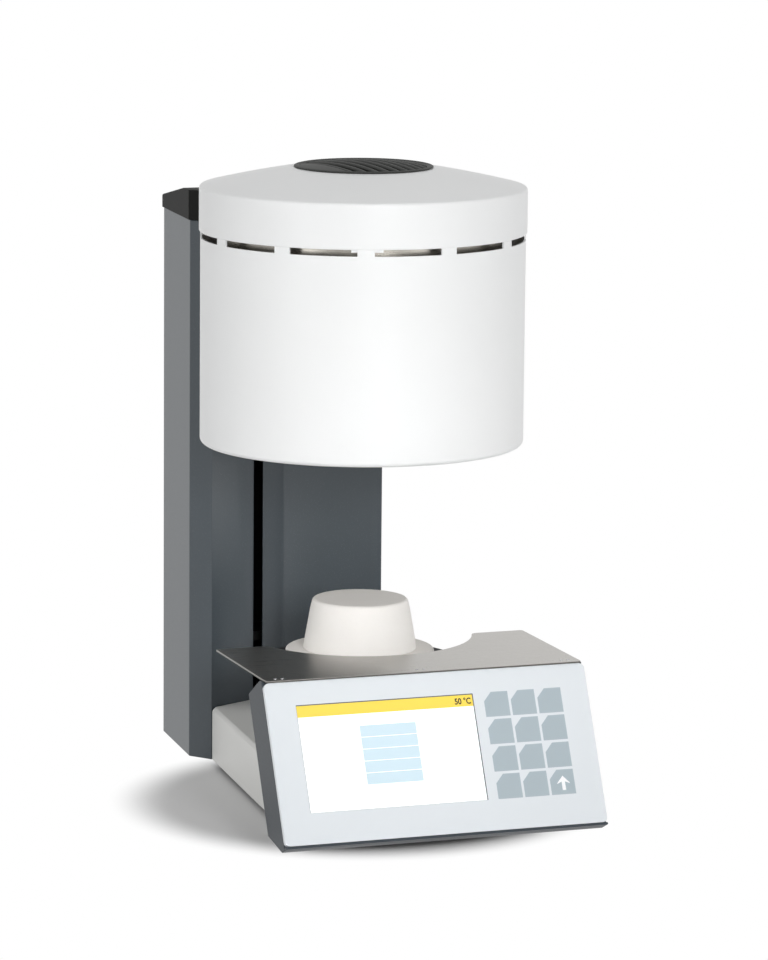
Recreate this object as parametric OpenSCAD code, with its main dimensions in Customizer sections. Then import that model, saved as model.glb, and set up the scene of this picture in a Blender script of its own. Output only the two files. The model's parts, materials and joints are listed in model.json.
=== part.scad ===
// Dental lab furnace with a lifting hood, a round firing table and a tilted control panel.
// Millimetres, +Z up, front towards -Y. The firing axis is vertical and carries plug, table and hood.

/* [Stand] */
// Height of the rubber feet
foot_h = 4; // [3:0.5:8]
// Radius of one foot
foot_r = 12; // [8:1:16]
// Height of the base cover
base_h = 47; // [42:1:52]
// Half width of the base where it meets the column
base_half_rear = 77.5; // [74:0.5:77.5]
// Half width of the base at its front end
base_half_front = 104; // [96:1:110]
// Distance from the firing axis to the front end of the base
base_front = 165; // [160:1:168]
// Bevel along the top edge of the base cover
base_bevel = 3; // [1:0.5:5]
// Thickness of the sheet metal
sheet_t = 2; // [1.5:0.1:2.5]

/* [Column] */
// Half distance between the two front edges of the column
col_front_half = 78; // [78:0.5:82]
// Distance from the firing axis to the front edges
col_front_y = 165; // [160:1:170]
// Distance from the firing axis to the bottom of the front groove
col_groove_y = 202; // [196:1:206]
// Half width at the widest fold
col_side_half = 92.5; // [90:0.5:96]
// Distance from the firing axis to the widest fold
col_side_y = 184; // [180:1:188]
// Half width at the shallow fold on the right side
col_side_right = 83.5; // [82:0.5:86]
// Half width at the back
col_rear_half = 85; // [83:0.5:88]
// Distance from the firing axis to the back
col_rear_y = 285; // [282:1:290]
// Height of the folded sheet of the column
col_h = 472; // [468:1:480]
// Height of the cap at its front
cap_front_h = 26; // [20:1:30]
// Height of the cap at its back
cap_rear_h = 12; // [8:1:16]
// Overhang of the cap over the sheet
cap_over = 1.5; // [0.5:0.5:3]
// Wall of the cap
cap_t = 2.5; // [2:0.5:4]
// Width of the slot for the lift arm, measured along the sheet
slot_w = 11; // [10:0.5:13]
// Distance of the slot from the front edge, along the sheet
slot_s = 55.5; // [54:0.5:57]

/* [Lift] */
// Travel of the hood
lift_travel = 162.3; // [150:0.1:165]
// Distance from the firing axis to the spindle
spindle_y = 240; // [238:1:242]
// Radius of the spindle
spindle_r = 7; // [6:0.5:8]
// Radius of a guide rod
rod_r = 6; // [5:0.5:7]
// Half distance between the guide rods
rod_half = 42; // [40:1:44]
// Thickness of the lift arm
arm_t = 6; // [5:0.5:7]
// Height of the lift arm
arm_h = 110; // [90:5:120]
// Height of the carriage
carriage_h = 90; // [70:5:95]

/* [Hood] */
// Outer radius of the hood
hood_r = 135; // [130:1:138]
// Height of the hood from its rim to the lid seam
hood_h = 177; // [170:1:185]
// Wall of the hood
hood_wall = 1.5; // [1:0.1:2]
// Rounding of the lower rim
rim_round = 4; // [3:0.5:6]
// How far the lid stands out over the hood
lid_over = 1.1; // [0.5:0.1:1.5]
// Height of the upright band of the lid
lid_band = 33; // [28:1:38]
// Rise of the lid from its shoulder to the grille
lid_rise = 20; // [14:1:24]
// Rounding of the lid's shoulder
lid_round = 6; // [4:0.5:8]
// Number of vent slots round the hood
vent_count = 12; // [8:1:16]
// Height of a vent slot
vent_h = 5.4; // [4:0.2:7]
// Gap between neighbouring vent slots, in degrees
vent_gap = 6.3; // [5:0.1:8]
// Turn of the vent slots round the hood, in degrees
vent_turn = -3; // [-15:1:15]
// Radius of the grille in the lid
grille_r = 58; // [52:1:62]
// Height of the grille's dome
grille_dome = 5; // [3:0.5:7]
// Number of slits in the grille
louvre_count = 10; // [7:1:13]

/* [Firing chamber] */
// Radius of the chamber bore
chamber_r = 51; // [50:0.5:53]
// Height of the chamber
chamber_h = 90; // [80:1:95]
// Outer radius of the muffle
muffle_r = 85; // [80:1:90]
// Distance from the outside of the hood to the outside of the polished inner shell
shell_gap = 13; // [12:1:16]
// Outer radius of the seal ring under the hood
seal_r = 58; // [56:0.5:62]
// Radius of the heater wire
wire_r = 1.4; // [1:0.1:1.6]
// Number of heater turns
coil_turns = 7; // [6:1:9]

/* [Firing table] */
// Radius of the table's black flange
flange_r = 88; // [80:1:90]
// Top of the black flange above the ground
flange_z = 119; // [115:1:122]
// Radius of the pedestal
pedestal_r = 76; // [70:1:78]
// Radius of the ceramic table ring
ring_r = 62.5; // [61:0.5:66]
// Height of the table ring
ring_h = 13; // [10:0.5:15]
// Bottom radius of the firing plug
plug_r_low = 47.9; // [44:0.1:48.5]
// Top radius of the firing plug
plug_r_top = 40.5; // [36:0.5:44]
// Height of the firing plug
plug_h = 42.5; // [36:0.5:48]
// Rounding of the plug's top edge
plug_round = 3; // [1:0.5:5]

/* [Panel] */
// Width of the control panel
panel_w = 276; // [270:1:290]
// Height of the glass, measured along it
panel_h = 136; // [134:0.5:140]
// Lean of the glass from the vertical, in degrees
panel_tilt = 26; // [24:0.5:28]
// Height of the glass's lower edge above the ground
panel_z = 20; // [18:0.5:24]
// Distance from the firing axis to the glass's lower edge
panel_y = 218.8; // [216:0.2:222]
// Thickness of the glass
glass_t = 4; // [3:0.5:5]
// Corner radius of the glass
glass_corner = 4; // [2:0.5:6]
// Depth of the housing behind the front of the glass
housing_d = 42; // [38:1:46]
// Wall of the housing
housing_wall = 3; // [2:0.5:4]
// Width of the display
display_w = 151.5; // [145:0.5:155]
// Height of the display
display_h = 89.3; // [85:0.1:93]
// Gap between the display and the touch board
touch_gap = 6.8; // [6:0.2:8]
// Edge of the glass outside the touch board
touch_edge = 19; // [16:0.5:24]
// Left edge of the display from the panel's middle
display_x = -113.3; // [-116:0.1:-110]
// Lower edge of the display, measured up the glass
display_s = 27.8; // [25:0.1:30]

/* [Deck] */
// Thickness of the deck plate
deck_t = 1.5; // [1:0.1:2]
// Half width of the deck plate
deck_half = 136; // [130:1:138]
// Distance from the firing axis to the deck's back edge
deck_back = 27; // [20:1:40]
// Radius of the cut-out round the table
deck_cut_r = 94; // [92:1:98]
// Corner radius of the deck plate
deck_corner = 3; // [1:0.5:5]
// Rounding where the cut-out meets the back edge of the deck
deck_round = 6; // [3:0.5:8]

/* [Hidden] */
$fn = 96;

// Tilt of the rocker at rest, in degrees
rocker_rest = 6;

// Clearances
seat_gap = 0.3;
run_gap = 0.05;
fit_gap = 0.2;
rim_clear = 1.2;
seal_clear = 0.8;
plug_gap = 0.1;
eps = 0.01;

// Heights of the base, the deck and the closed hood
base_z = foot_h;
base_top = base_z + base_h;
plate_top = base_z + sheet_t;
cos_t = cos(panel_tilt);
sin_t = sin(panel_tilt);
deck_z = panel_z + panel_h * cos_t + seat_gap;
deck_top = deck_z + deck_t;
deck_front = panel_y - panel_h * sin_t + 1.3;
ring_top = flange_z + ring_h;
hood_z = deck_top + rim_clear + lift_travel;
seal_z = ring_top + seal_clear + lift_travel;
seam_z = hood_z + hood_h;

// Where the cut-out of the deck meets its back edge: sharp corner and centre of its rounding
horn_x = sqrt(pow(deck_cut_r, 2) - pow(deck_back, 2));
horn = [sqrt(pow(deck_cut_r + deck_round, 2) - pow(deck_back + deck_round, 2)), -deck_back - deck_round];
horn_span = 90 - asin((deck_back + deck_round) / (deck_cut_r + deck_round));
horn_arc = [for (k = [0:3]) horn + deck_round * [cos(90 + k * horn_span / 3), sin(90 + k * horn_span / 3)]];
horn_cut = [
    1.5 * horn_arc[0] - 0.5 * horn_arc[1], horn_arc[1], horn_arc[2], 1.5 * horn_arc[3] - 0.5 * horn_arc[2],
    [horn_x - 4, -deck_back - 3], [horn_x - 4, -deck_back + 1], [horn[0] + 1.5, -deck_back + 1]
];

// Inside of the hood
inner_r = hood_r - shell_gap;
lip_t = 2;
lip_w = 9;
floor_z = hood_z + lip_t;
floor_t = 3;
floor_top = floor_z + floor_t;
seal_flange_r = 72;
seal_flange_h = 6;
chamber_z = floor_top + seal_flange_h;
chamber_top = chamber_z + chamber_h;
roof_t = 30;
roof_top = chamber_top + roof_t;
inner_wall = 1.2;
top_plate_z = seam_z + 6;
top_plate_t = 2;
top_plate_r = inner_r + 4;
top_plate_top = top_plate_z + top_plate_t;
coil_r = chamber_r - 0.6;
coil_z = chamber_z + 8;
coil_pitch = (chamber_h - 16) / (coil_turns - 1);
groove_r = wire_r + 0.3;
coil_gap = 15;
link_r = wire_r + 0.4;
coil_ends = [for (s = [-1, 1]) [s * coil_r * sin(coil_gap), coil_r * cos(coil_gap)]];
lead_spots = [[0, coil_r], coil_ends[1]];
probe_r = 2.5;
probe_reach = 30;

// Vent slots and lid
vent_top = seam_z;
vent_step = 360 / vent_count;
vent_arc = vent_step - vent_gap;
lid_r = hood_r + lid_over;
lid_t = 1.6;
lid_seat = 1;
lug_arc = 11.2;
lug_t = 1.4;
lug_drop = 0.42 * vent_h;
lid_hole_r = grille_r - 4;
lid_top = seam_z + lid_band + lid_rise;
louvre_w = 4.2;
louvre_pitch = 9.2;
louvre_first = -40.5;
louvre_turn = -78;

// Column outline, from the left rear corner round the front to the right rear corner
col_path = [[-col_rear_half, col_rear_y], [-col_side_half, col_side_y], [-col_front_half, col_front_y],
    [0, col_groove_y], [col_front_half, col_front_y], [col_side_right, col_side_y],
    [col_rear_half, col_rear_y]];
col_top = base_z + col_h;
face_run = [col_front_half, col_groove_y - col_front_y];
face_dir = face_run / norm(face_run);
slot_at = [-col_front_half, col_front_y] + slot_s * face_dir;
slot_z0 = base_top + 5;
slot_z1 = col_top - 14;
bridge_half = 60;
side_lean = (col_side_half - col_rear_half) / (col_rear_y - col_side_y);
right_lean = (col_side_right - col_rear_half) / (col_rear_y - col_side_y);

// Lift inside the column
arm_x = slot_at[0];
arm_z = hood_z + 28;
carriage_d = 36;
carriage_w = 120;
carriage_y = spindle_y - carriage_d / 2;
carriage_z = arm_z + (arm_h - carriage_h) / 2;
arm_flange_w = 58;
arm_flange_t = 5;
bracket_y = inner_r - 0.4;
bracket_t = 5;
bracket_w = 26;
bracket_tongue = 13;
bracket_back = bracket_y + bracket_t;
shelf_t = 8;
shelf_low_z = base_z + 92;
shelf_high_z = col_top - 26;
shelf_w = 140;
frame_back_y = spindle_y + 22;
frame_front_y = spindle_y - 20;
bearing_r = 15;
bush_r = rod_r + 3;
bush_h = 20;
nut_r = 13;
nut_flange_r = 18;
nut_flange_h = 6;
motor_r = 20.5;
motor_h = 54;
motor_top = plate_top + motor_h;
shaft_r = 4;
coupling_r = 13;
coupling_h = 24;
coupling_z = motor_top + 1;
spindle_z0 = coupling_z + coupling_h / 2 + 1;
spindle_z1 = shelf_high_z + shelf_t + 4;

// Panel housing, in the panel's own directions: x, depth behind the glass, height up the glass
housing_top_d = 10;
cavity_d = housing_d - 4;
board_t = 1.6;
display_d = 8;

// Back of the column: sockets on one line
rear_y = col_rear_y;
socket_z = base_z + 46;
inlet_x = 46;
switch_x = 2;
fuse_x = [-34, -52];
nipple_x = -70;
nipple_z = socket_z + 36;
inlet_w = 27;
inlet_h = 19.6;
switch_w = 26;
switch_open = 16;
rocker_w = 20;
rocker_r = 7.2;
pivot_y = rear_y - 1;
nipple_r = 4;
nipple_len = 20;
nipple_base = 6;
grommet_x = 66;
window_half = max(shelf_w / 2 - 8, inlet_x + inlet_w / 2 + 2);

// Shift that puts the origin under the middle of the part
front_y = -panel_y;
back_y = rear_y + nipple_base + nipple_len;
mid_y = (front_y + back_y) / 2;

// Left-hand normal of the step from a to b
function step_normal(a, b) = let (d = b - a) [-d[1], d[0]] / norm(d);
// Corner b moved by t off the two steps that meet there
function offset_corner(a, b, c, t) =
    let (m = step_normal(a, b), n = step_normal(b, c)) b + t * (m + n) / (1 + m * n);
// Path moved by t to its left
function offset_path(p, t) = [for (i = [0:len(p) - 1])
    i == 0 ? p[0] + t * step_normal(p[0], p[1])
    : i == len(p) - 1 ? p[i] + t * step_normal(p[i - 1], p[i])
    : offset_corner(p[i - 1], p[i], p[i + 1], t)];
function reversed(p) = [for (i = [len(p) - 1:-1:0]) p[i]];
// Arc points round c
function arc(c, r, a0, a1, n) = [for (i = [0:n]) let (a = a0 + (a1 - a0) * i / n)
    [c[0] + r * cos(a), c[1] + r * sin(a)]];
// Height up the glass at which a point d behind it lies at height z
function up_glass(z, d) = (z - panel_z + d * sin_t) / cos_t;
// Half width of the column at a distance y, outside, for a side with the given lean
function side_half(y, lean) = col_rear_half + (col_rear_y - y) * lean;
// Half width of the base at a distance y
function base_half(y) = base_half_rear
    + (base_half_front - base_half_rear) * (col_front_y - y) / (col_front_y + base_front);

module place() {
    translate([0, -mid_y, 0]) children();
}

// A folded sheet: path p with its thickness t to the left
module folded(p, t) {
    polygon(concat(p, reversed(offset_path(p, t))));
}

module tube(r_out, r_in, h) {
    difference() {
        cylinder(r = r_out, h = h);
        translate([0, 0, -eps]) cylinder(r = r_in, h = h + 2 * eps);
    }
}

// Lays a child's XY outline in the YZ plane and extrudes it along X, centred
module across(w) {
    rotate([90, 0, 90]) translate([0, 0, -w / 2]) linear_extrude(w) children();
}

// Panel directions: Y goes in behind the glass, Z goes up it
module at_panel() {
    translate([0, -panel_y, panel_z]) rotate([-panel_tilt, 0, 0]) children();
}

// Points out of the back of the column at x, z
module at_rear(x, z) {
    translate([x, rear_y, z]) rotate([-90, 0, 0]) children();
}

module rounded_plate(x0, x1, y0, y1, r) {
    hull() for (x = [x0 + r, x1 - r], y = [y0 + r, y1 - r]) translate([x, y]) circle(r = r, $fn = 32);
}

// Outline of the base, moved in by the given amount
module base_outline(inset, rear_inset) {
    yf = -base_front + inset;
    yr = col_front_y - rear_inset;
    polygon([[-base_half(yf) + inset, yf], [base_half(yf) - inset, yf], [base_half_rear - inset, yr],
        [0, col_groove_y - rear_inset], [-base_half_rear + inset, yr]]);
}

module base_solid(inset, z0, z1, bevel) {
    difference() {
        hull() {
            translate([0, 0, z0]) linear_extrude(z1 - z0 - bevel) base_outline(inset, inset + fit_gap);
            translate([0, 0, z0]) linear_extrude(z1 - z0) base_outline(inset + bevel, inset + fit_gap);
        }
        at_panel() translate([-panel_w, -panel_w + housing_d + inset, -panel_w])
            cube([2 * panel_w, panel_w, 3 * panel_w]);
    }
}

module base_cover() {
    color("gainsboro") difference() {
        base_solid(0, base_z, base_top, base_bevel);
        base_solid(sheet_t, base_z - 1, base_top - sheet_t, base_bevel);
        bridge_notch();
    }
}

module base_plate() {
    rim = sheet_t + fit_gap;
    color("silver") translate([0, 0, base_z]) linear_extrude(sheet_t) {
        base_outline(rim, rim);
        polygon(offset_path(col_path, rim));
        translate([-bridge_half, col_front_y - 12]) square([2 * bridge_half, 55]);
    }
}

// Opening through which the base plate passes from the base into the column
module bridge_notch() {
    translate([-bridge_half - fit_gap, col_front_y - 14, base_z - 1])
        cube([2 * (bridge_half + fit_gap), 60, sheet_t + 1]);
}

foot_spots = [[-84, -128], [84, -128], [-66, 256], [66, 256]];

module rubber_feet() {
    color("dimgray") for (p = foot_spots) translate([p[0], p[1], 0])
        cylinder(r1 = foot_r - 1, r2 = foot_r, h = foot_h);
}

module base_screws() {
    color("silver") for (p = [[-60, -60], [60, -60], [-52, 110], [52, 110]])
        translate([p[0], p[1], base_z - 1.6]) difference() {
            cylinder(r = 3.4, h = 1.6);
            translate([0, 0, -eps]) cylinder(r = 1.6, h = 1, $fn = 6);
        }
}

module column_shell() {
    color("dimgray") difference() {
        translate([0, 0, base_z]) linear_extrude(col_h) folded(col_path, sheet_t);
        translate([arm_x - slot_w * face_dir[0] / 2, slot_at[1] - 20, slot_z0])
            cube([slot_w * face_dir[0], 40, slot_z1 - slot_z0]);
        bridge_notch();
    }
}

rear_lip = 17;
rear_t = 1.5;

module rear_cover() {
    left = side_half(col_rear_y - rear_lip, side_lean) - sheet_t - seat_gap;
    right = side_half(col_rear_y - rear_lip, right_lean) - sheet_t - seat_gap;
    x1 = col_rear_half - sheet_t - seat_gap;
    path = [[right, rear_y - rear_lip], [x1, rear_y], [-x1, rear_y], [-left, rear_y - rear_lip]];
    color("dimgray") difference() {
        translate([0, 0, plate_top]) linear_extrude(col_top - plate_top - seat_gap) folded(path, rear_t);
        for (x = [-42, 42], i = [0:7], z = [110, 372])
            translate([x - 20, rear_y - 5, z + i * 9]) cube([40, 10, 4]);
        translate([inlet_x - inlet_w / 2 - fit_gap, rear_y - 5, socket_z - inlet_h / 2 - fit_gap])
            cube([inlet_w + 2 * fit_gap, 10, inlet_h + 2 * fit_gap]);
        translate([switch_x - switch_w / 2 - fit_gap, rear_y - 5, socket_z - inlet_h / 2 - fit_gap])
            cube([switch_w + 2 * fit_gap, 10, inlet_h + 2 * fit_gap]);
        for (x = fuse_x) translate([x, rear_y + 5, socket_z]) rotate([90, 0, 0]) cylinder(r = 6.2, h = 10);
        translate([nipple_x, rear_y + 5, nipple_z]) rotate([90, 0, 0]) cylinder(r = 5, h = 10);
    }
}

// The cap's body, moved in from its outside by the given amount
module cap_body(inset) {
    wall = offset_path(col_path, inset - cap_over);
    back = col_rear_y + cap_over - inset;
    round_r = 6 - inset;
    intersection() {
        translate([0, 0, col_top - inset]) linear_extrude(cap_front_h + 1)
            polygon([for (p = wall) [p[0], min(p[1], back)]]);
        across(3 * col_side_half) polygon(concat(
            [[col_front_y - 2 * cap_over, col_top - inset], [back, col_top - inset]],
            arc([back - round_r, col_top + cap_rear_h - 6], round_r, 0, 70, 6),
            [[col_side_y + 20, col_top + cap_front_h - 0.6 - inset]],
            arc([col_front_y + 3, col_top + cap_front_h - 6], round_r, 90, 180, 6)));
    }
}

module column_cap() {
    inner = offset_path(col_path, sheet_t + fit_gap);
    skirt = offset_path(col_path, sheet_t + fit_gap + cap_t);
    skirt_back = col_rear_y - rear_lip - 1;
    color([0.1, 0.1, 0.11]) {
        difference() {
            cap_body(0);
            cap_body(cap_t);
        }
        translate([0, 0, col_top - 6]) linear_extrude(6 + cap_t) difference() {
            polygon([for (p = inner) [p[0], min(p[1], skirt_back)]]);
            polygon([for (p = skirt) [p[0], min(p[1], skirt_back - cap_t)]]);
        }
        translate([0, 0, col_top]) linear_extrude(cap_t) difference() {
            polygon([for (p = offset_path(col_path, cap_t - cap_over - 0.5)) [p[0], min(p[1], skirt_back)]]);
            polygon([for (p = skirt) [p[0], min(p[1], skirt_back - cap_t)]]);
        }
    }
}

module lift_frame() {
    color("slategray") difference() {
        union() {
            translate([-shelf_w / 2, frame_back_y, plate_top])
                cube([shelf_w, 4, shelf_high_z + shelf_t - plate_top]);
            for (z = [shelf_low_z, shelf_high_z]) translate([-shelf_w / 2 + 10, frame_front_y, z])
                cube([shelf_w - 20, frame_back_y - frame_front_y + 1, shelf_t]);
        }
        for (s = [-1, 1], z = [shelf_low_z, shelf_high_z]) translate([s * rod_half, spindle_y, z - 1])
            cylinder(r = rod_r + run_gap, h = shelf_t + 2);
        for (z = [shelf_low_z, shelf_high_z]) translate([0, spindle_y, z - 1])
            cylinder(r = bearing_r + run_gap, h = shelf_t + 2);
        translate([-window_half, frame_back_y - 1, plate_top + 18]) cube([2 * window_half, 6, 64]);
    }
}

module guide_rods() {
    color("silver") for (s = [-1, 1]) translate([s * rod_half, spindle_y, shelf_low_z])
        cylinder(r = rod_r, h = shelf_high_z + shelf_t - shelf_low_z);
}

module spindle_bearings() {
    color("lightgray") for (z = [shelf_low_z, shelf_high_z]) translate([0, spindle_y, z])
        tube(bearing_r, spindle_r + run_gap, shelf_t);
}

module lift_motor() {
    color("gray") difference() {
        translate([0, spindle_y, plate_top]) union() {
            cylinder(r = motor_r, h = motor_h - 4);
            translate([-motor_r, -motor_r, motor_h - 4]) cube([2 * motor_r, 2 * motor_r, 4]);
            translate([-motor_r, -motor_r, 0]) cube([2 * motor_r, 2 * motor_r, 3]);
        }
        translate([0, spindle_y, motor_top - 14]) cylinder(r = shaft_r + run_gap, h = 20);
    }
}

module motor_shaft() {
    color("silver") translate([0, spindle_y, motor_top - 13])
        cylinder(r = shaft_r, h = 13 + coupling_h / 2);
}

module shaft_coupling() {
    color("lightsteelblue") difference() {
        translate([0, spindle_y, coupling_z]) cylinder(r = coupling_r, h = coupling_h);
        translate([0, spindle_y, coupling_z - 1]) cylinder(r = shaft_r + run_gap, h = coupling_h / 2 + 1);
        translate([0, spindle_y, spindle_z0 - 1]) cylinder(r = spindle_r + run_gap, h = coupling_h);
    }
}

module lift_spindle() {
    thread_r = spindle_r - 1.2;
    thread_z0 = shelf_low_z + shelf_t + 2;
    thread_z1 = shelf_high_z - 2;
    turns = floor((thread_z1 - thread_z0) / 10);
    color("silver") translate([0, spindle_y, 0]) union() {
        translate([0, 0, spindle_z0]) cylinder(r = spindle_r, h = thread_z0 - spindle_z0);
        translate([0, 0, thread_z0 - eps]) cylinder(r = thread_r, h = thread_z1 - thread_z0 + 2 * eps);
        for (i = [0:turns - 1]) translate([0, 0, thread_z0 + i * 10]) cylinder(r = spindle_r, h = 6);
        translate([0, 0, thread_z1]) cylinder(r = spindle_r, h = spindle_z1 - thread_z1);
    }
}

module power_supply() {
    w = 124;
    d = 110;
    h = 34;
    color("silver") translate([-w / 2, -d, plate_top]) difference() {
        cube([w, d, h]);
        translate([sheet_t, sheet_t, -1]) cube([w - 2 * sheet_t, d - 2 * sheet_t, h - sheet_t + 1]);
        for (i = [0:9]) translate([-1, 10 + i * 9.5, 10]) cube([w + 2, 5, 14]);
    }
}

module vacuum_valve() {
    color("goldenrod") {
        translate([-62, 60, plate_top]) cube([30, 46, 18]);
        translate([-47, 83, plate_top + 18 - eps]) cylinder(r = 11, h = 16);
        translate([-47, 106 - eps, plate_top + 9]) rotate([-90, 0, 0]) cylinder(r = 3.5, h = 14);
    }
}

module power_inlet() {
    color([0.1, 0.1, 0.11]) at_rear(inlet_x, socket_z) {
        difference() {
            union() {
                translate([-20, -14, 0]) cube([40, 28, 3]);
                translate([-inlet_w / 2, -inlet_h / 2, -22]) cube([inlet_w, inlet_h, 22 + eps]);
            }
            translate([-11.5, -7.5, -12]) cube([23, 15, 20]);
        }
        for (x = [-7, 0, 7]) translate([x - 1, -2 + (x == 0 ? -2 : 2), -12 - eps]) cube([2, 4, 8]);
    }
    color("silver") for (s = [-1, 1]) at_rear(inlet_x + s * 17, socket_z)
        translate([0, 0, 3]) cylinder(r = 2.2, h = 1.2);
}

module switch_frame() {
    color([0.1, 0.1, 0.11]) difference() {
        at_rear(switch_x, socket_z) union() {
            translate([-17, -13, 0]) cube([34, 26, 2.5]);
            translate([-switch_w / 2, -inlet_h / 2, -17]) cube([switch_w, inlet_h, 17 + eps]);
        }
        translate([switch_x - rocker_w / 2 - seat_gap, pivot_y, socket_z - switch_open / 2])
            cube([rocker_w + 2 * seat_gap, 20, switch_open]);
        translate([switch_x, pivot_y, socket_z]) rotate([0, 90, 0])
            cylinder(r = switch_open / 2, h = rocker_w + 2 * seat_gap, center = true);
    }
    color([0.1, 0.1, 0.11]) for (s = [-1, 1])
        translate([switch_x + s * (rocker_w / 2 - 1), pivot_y, socket_z]) rotate([0, 90, 0])
            cylinder(r = 1.5, h = 3, center = true);
}

module switch_rocker() {
    tip = 4.5;
    half = 6.8;
    color("black") difference() {
        translate([switch_x, pivot_y, socket_z]) union() {
            rotate([0, 90, 0]) cylinder(r = rocker_r, h = rocker_w, center = true);
            rotate([rocker_rest, 0, 0]) across(rocker_w)
                polygon([[0, -half], [tip, -half], [tip - 0.9, 0], [tip, half], [0, half]]);
        }
        for (s = [-1, 1]) translate([switch_x + s * (rocker_w / 2 - 1), pivot_y, socket_z]) rotate([0, 90, 0])
            cylinder(r = 1.5 + run_gap, h = 3 + 2 * seat_gap, center = true);
    }
}

module fuse_holders() {
    color([0.1, 0.1, 0.11]) for (x = fuse_x) at_rear(x, socket_z) difference() {
        union() {
            cylinder(r = 7.5, h = 7);
            translate([0, 0, -20]) cylinder(r = 6, h = 20 + eps);
        }
        translate([-5, -0.8, 5.5]) cube([10, 1.6, 3]);
    }
}

module hose_nipple() {
    color("silver") at_rear(nipple_x, nipple_z) difference() {
        union() {
            translate([0, 0, -8]) cylinder(r = 4.8, h = 8 + eps);
            cylinder(r = 8, h = nipple_base, $fn = 6);
            cylinder(r = nipple_r, h = nipple_base + nipple_len);
        }
        translate([0, 0, -9]) cylinder(r = 2.4, h = nipple_base + nipple_len + 12);
    }
}

module rear_screws() {
    color("silver") for (x = [-74, 74], z = [24, 240, 452]) at_rear(x, z) difference() {
        cylinder(r = 3.6, h = 2);
        translate([0, 0, 1]) cylinder(r = 1.7, h = 2, $fn = 6);
    }
}

// Side outline of the housing: depth behind the glass, height up the glass
housing_side = [[glass_t, 0], [13, 0], [housing_d, 20], [housing_d, 138.5],
    [housing_top_d, up_glass(deck_z - 0.02, housing_top_d)], [glass_t, up_glass(deck_z - 0.02, glass_t)]];

module panel_housing() {
    color([0.3, 0.32, 0.34]) at_panel() difference() {
        across(panel_w) polygon(housing_side);
        translate([-panel_w / 2 + housing_wall, glass_t - 1, 20])
            cube([panel_w - 2 * housing_wall, cavity_d - glass_t + 1, 112]);
    }
}

module glass_front() {
    color([0.87, 0.9, 0.93]) at_panel() translate([0, glass_t, 0]) rotate([90, 0, 0])
        linear_extrude(glass_t)
            rounded_plate(-panel_w / 2, panel_w / 2, 0, panel_h, glass_corner);
}

module display_module() {
    m = 3;
    color("whitesmoke") at_panel() translate([display_x - m, glass_t, display_s - m])
        cube([display_w + 2 * m, display_d, display_h + 2 * m]);
}

module touch_board() {
    x0 = display_x + display_w + touch_gap;
    color("darkslategray") at_panel() translate([x0, glass_t, 25])
        cube([panel_w / 2 - touch_edge - x0, board_t, 95]);
}

module control_board() {
    x0 = -110;
    w = 220;
    color("seagreen") at_panel() difference() {
        translate([x0, cavity_d - 6 - board_t, 26]) cube([w, board_t, 96]);
        for (x = [x0 + 6, x0 + w - 6], s = [32, 116]) translate([x, cavity_d, s]) rotate([90, 0, 0])
            cylinder(r = 1.7, h = 12);
    }
    color("gold") at_panel() for (x = [x0 + 6, x0 + w - 6], s = [32, 116])
        translate([x, cavity_d, s]) rotate([90, 0, 0]) tube(3, 1.5, 6);
    color([0.2, 0.2, 0.2]) at_panel() for (x = [-80, -30, 40])
        translate([x, cavity_d - 6 - board_t - 4, 60]) cube([24, 4 + eps, 24]);
}

module deck_plate() {
    color("lightgray") translate([0, 0, deck_z]) linear_extrude(deck_t) difference() {
        rounded_plate(-deck_half, deck_half, -deck_front, -deck_back, deck_corner);
        circle(r = deck_cut_r);
        for (s = [-1, 1]) polygon([for (p = horn_cut) [s * p[0], p[1]]]);
    }
}

module deck_brackets() {
    x_in = 56;
    x_out = 76;
    t = sheet_t;
    color("silver") for (s = [-1, 1]) {
        translate([s > 0 ? x_out - t : -x_out, -112, base_top]) cube([t, 34, deck_z - base_top]);
        for (z = [base_top, deck_z - t]) translate([s > 0 ? x_in : -x_out, -112, z])
            cube([x_out - x_in, 28, t]);
    }
}

module table_pedestal() {
    color("gainsboro") translate([0, 0, base_top]) {
        tube(pedestal_r, pedestal_r - 3, flange_z - 9 - base_top);
        tube(pedestal_r + 6, pedestal_r - 8, 3);
    }
}

module table_flange() {
    lip = 2.5;
    color([0.08, 0.08, 0.09]) translate([0, 0, flange_z - 9]) rotate_extrude() polygon(concat(
        [[20, 0], [flange_r - 2, 0], [flange_r, 2], [flange_r, 7]],
        arc([flange_r - lip, 9 - lip + 1.5], lip, 0, 90, 6),
        [[flange_r - 2 * lip, 9], [20, 9]]));
}

module table_ring() {
    color([0.9, 0.89, 0.87]) translate([0, 0, flange_z]) rotate_extrude() polygon(concat(
        [[12, 0], [ring_r - 1, 0], [ring_r, 1]],
        arc([ring_r - 2, ring_h - 2], 2, 0, 90, 5),
        [[12, ring_h]]));
}

module firing_plug() {
    z0 = ring_top + plug_gap;
    slope = atan((plug_r_low - plug_r_top) / plug_h);
    color([0.96, 0.95, 0.93]) translate([0, 0, z0]) rotate_extrude() polygon(concat(
        [[0, 0], [plug_r_low - 1, 0], [plug_r_low, 1.5]],
        arc([plug_r_top - plug_round, plug_h - plug_round], plug_round, slope, 90, 7),
        [[0, plug_h]]));
}

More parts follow.
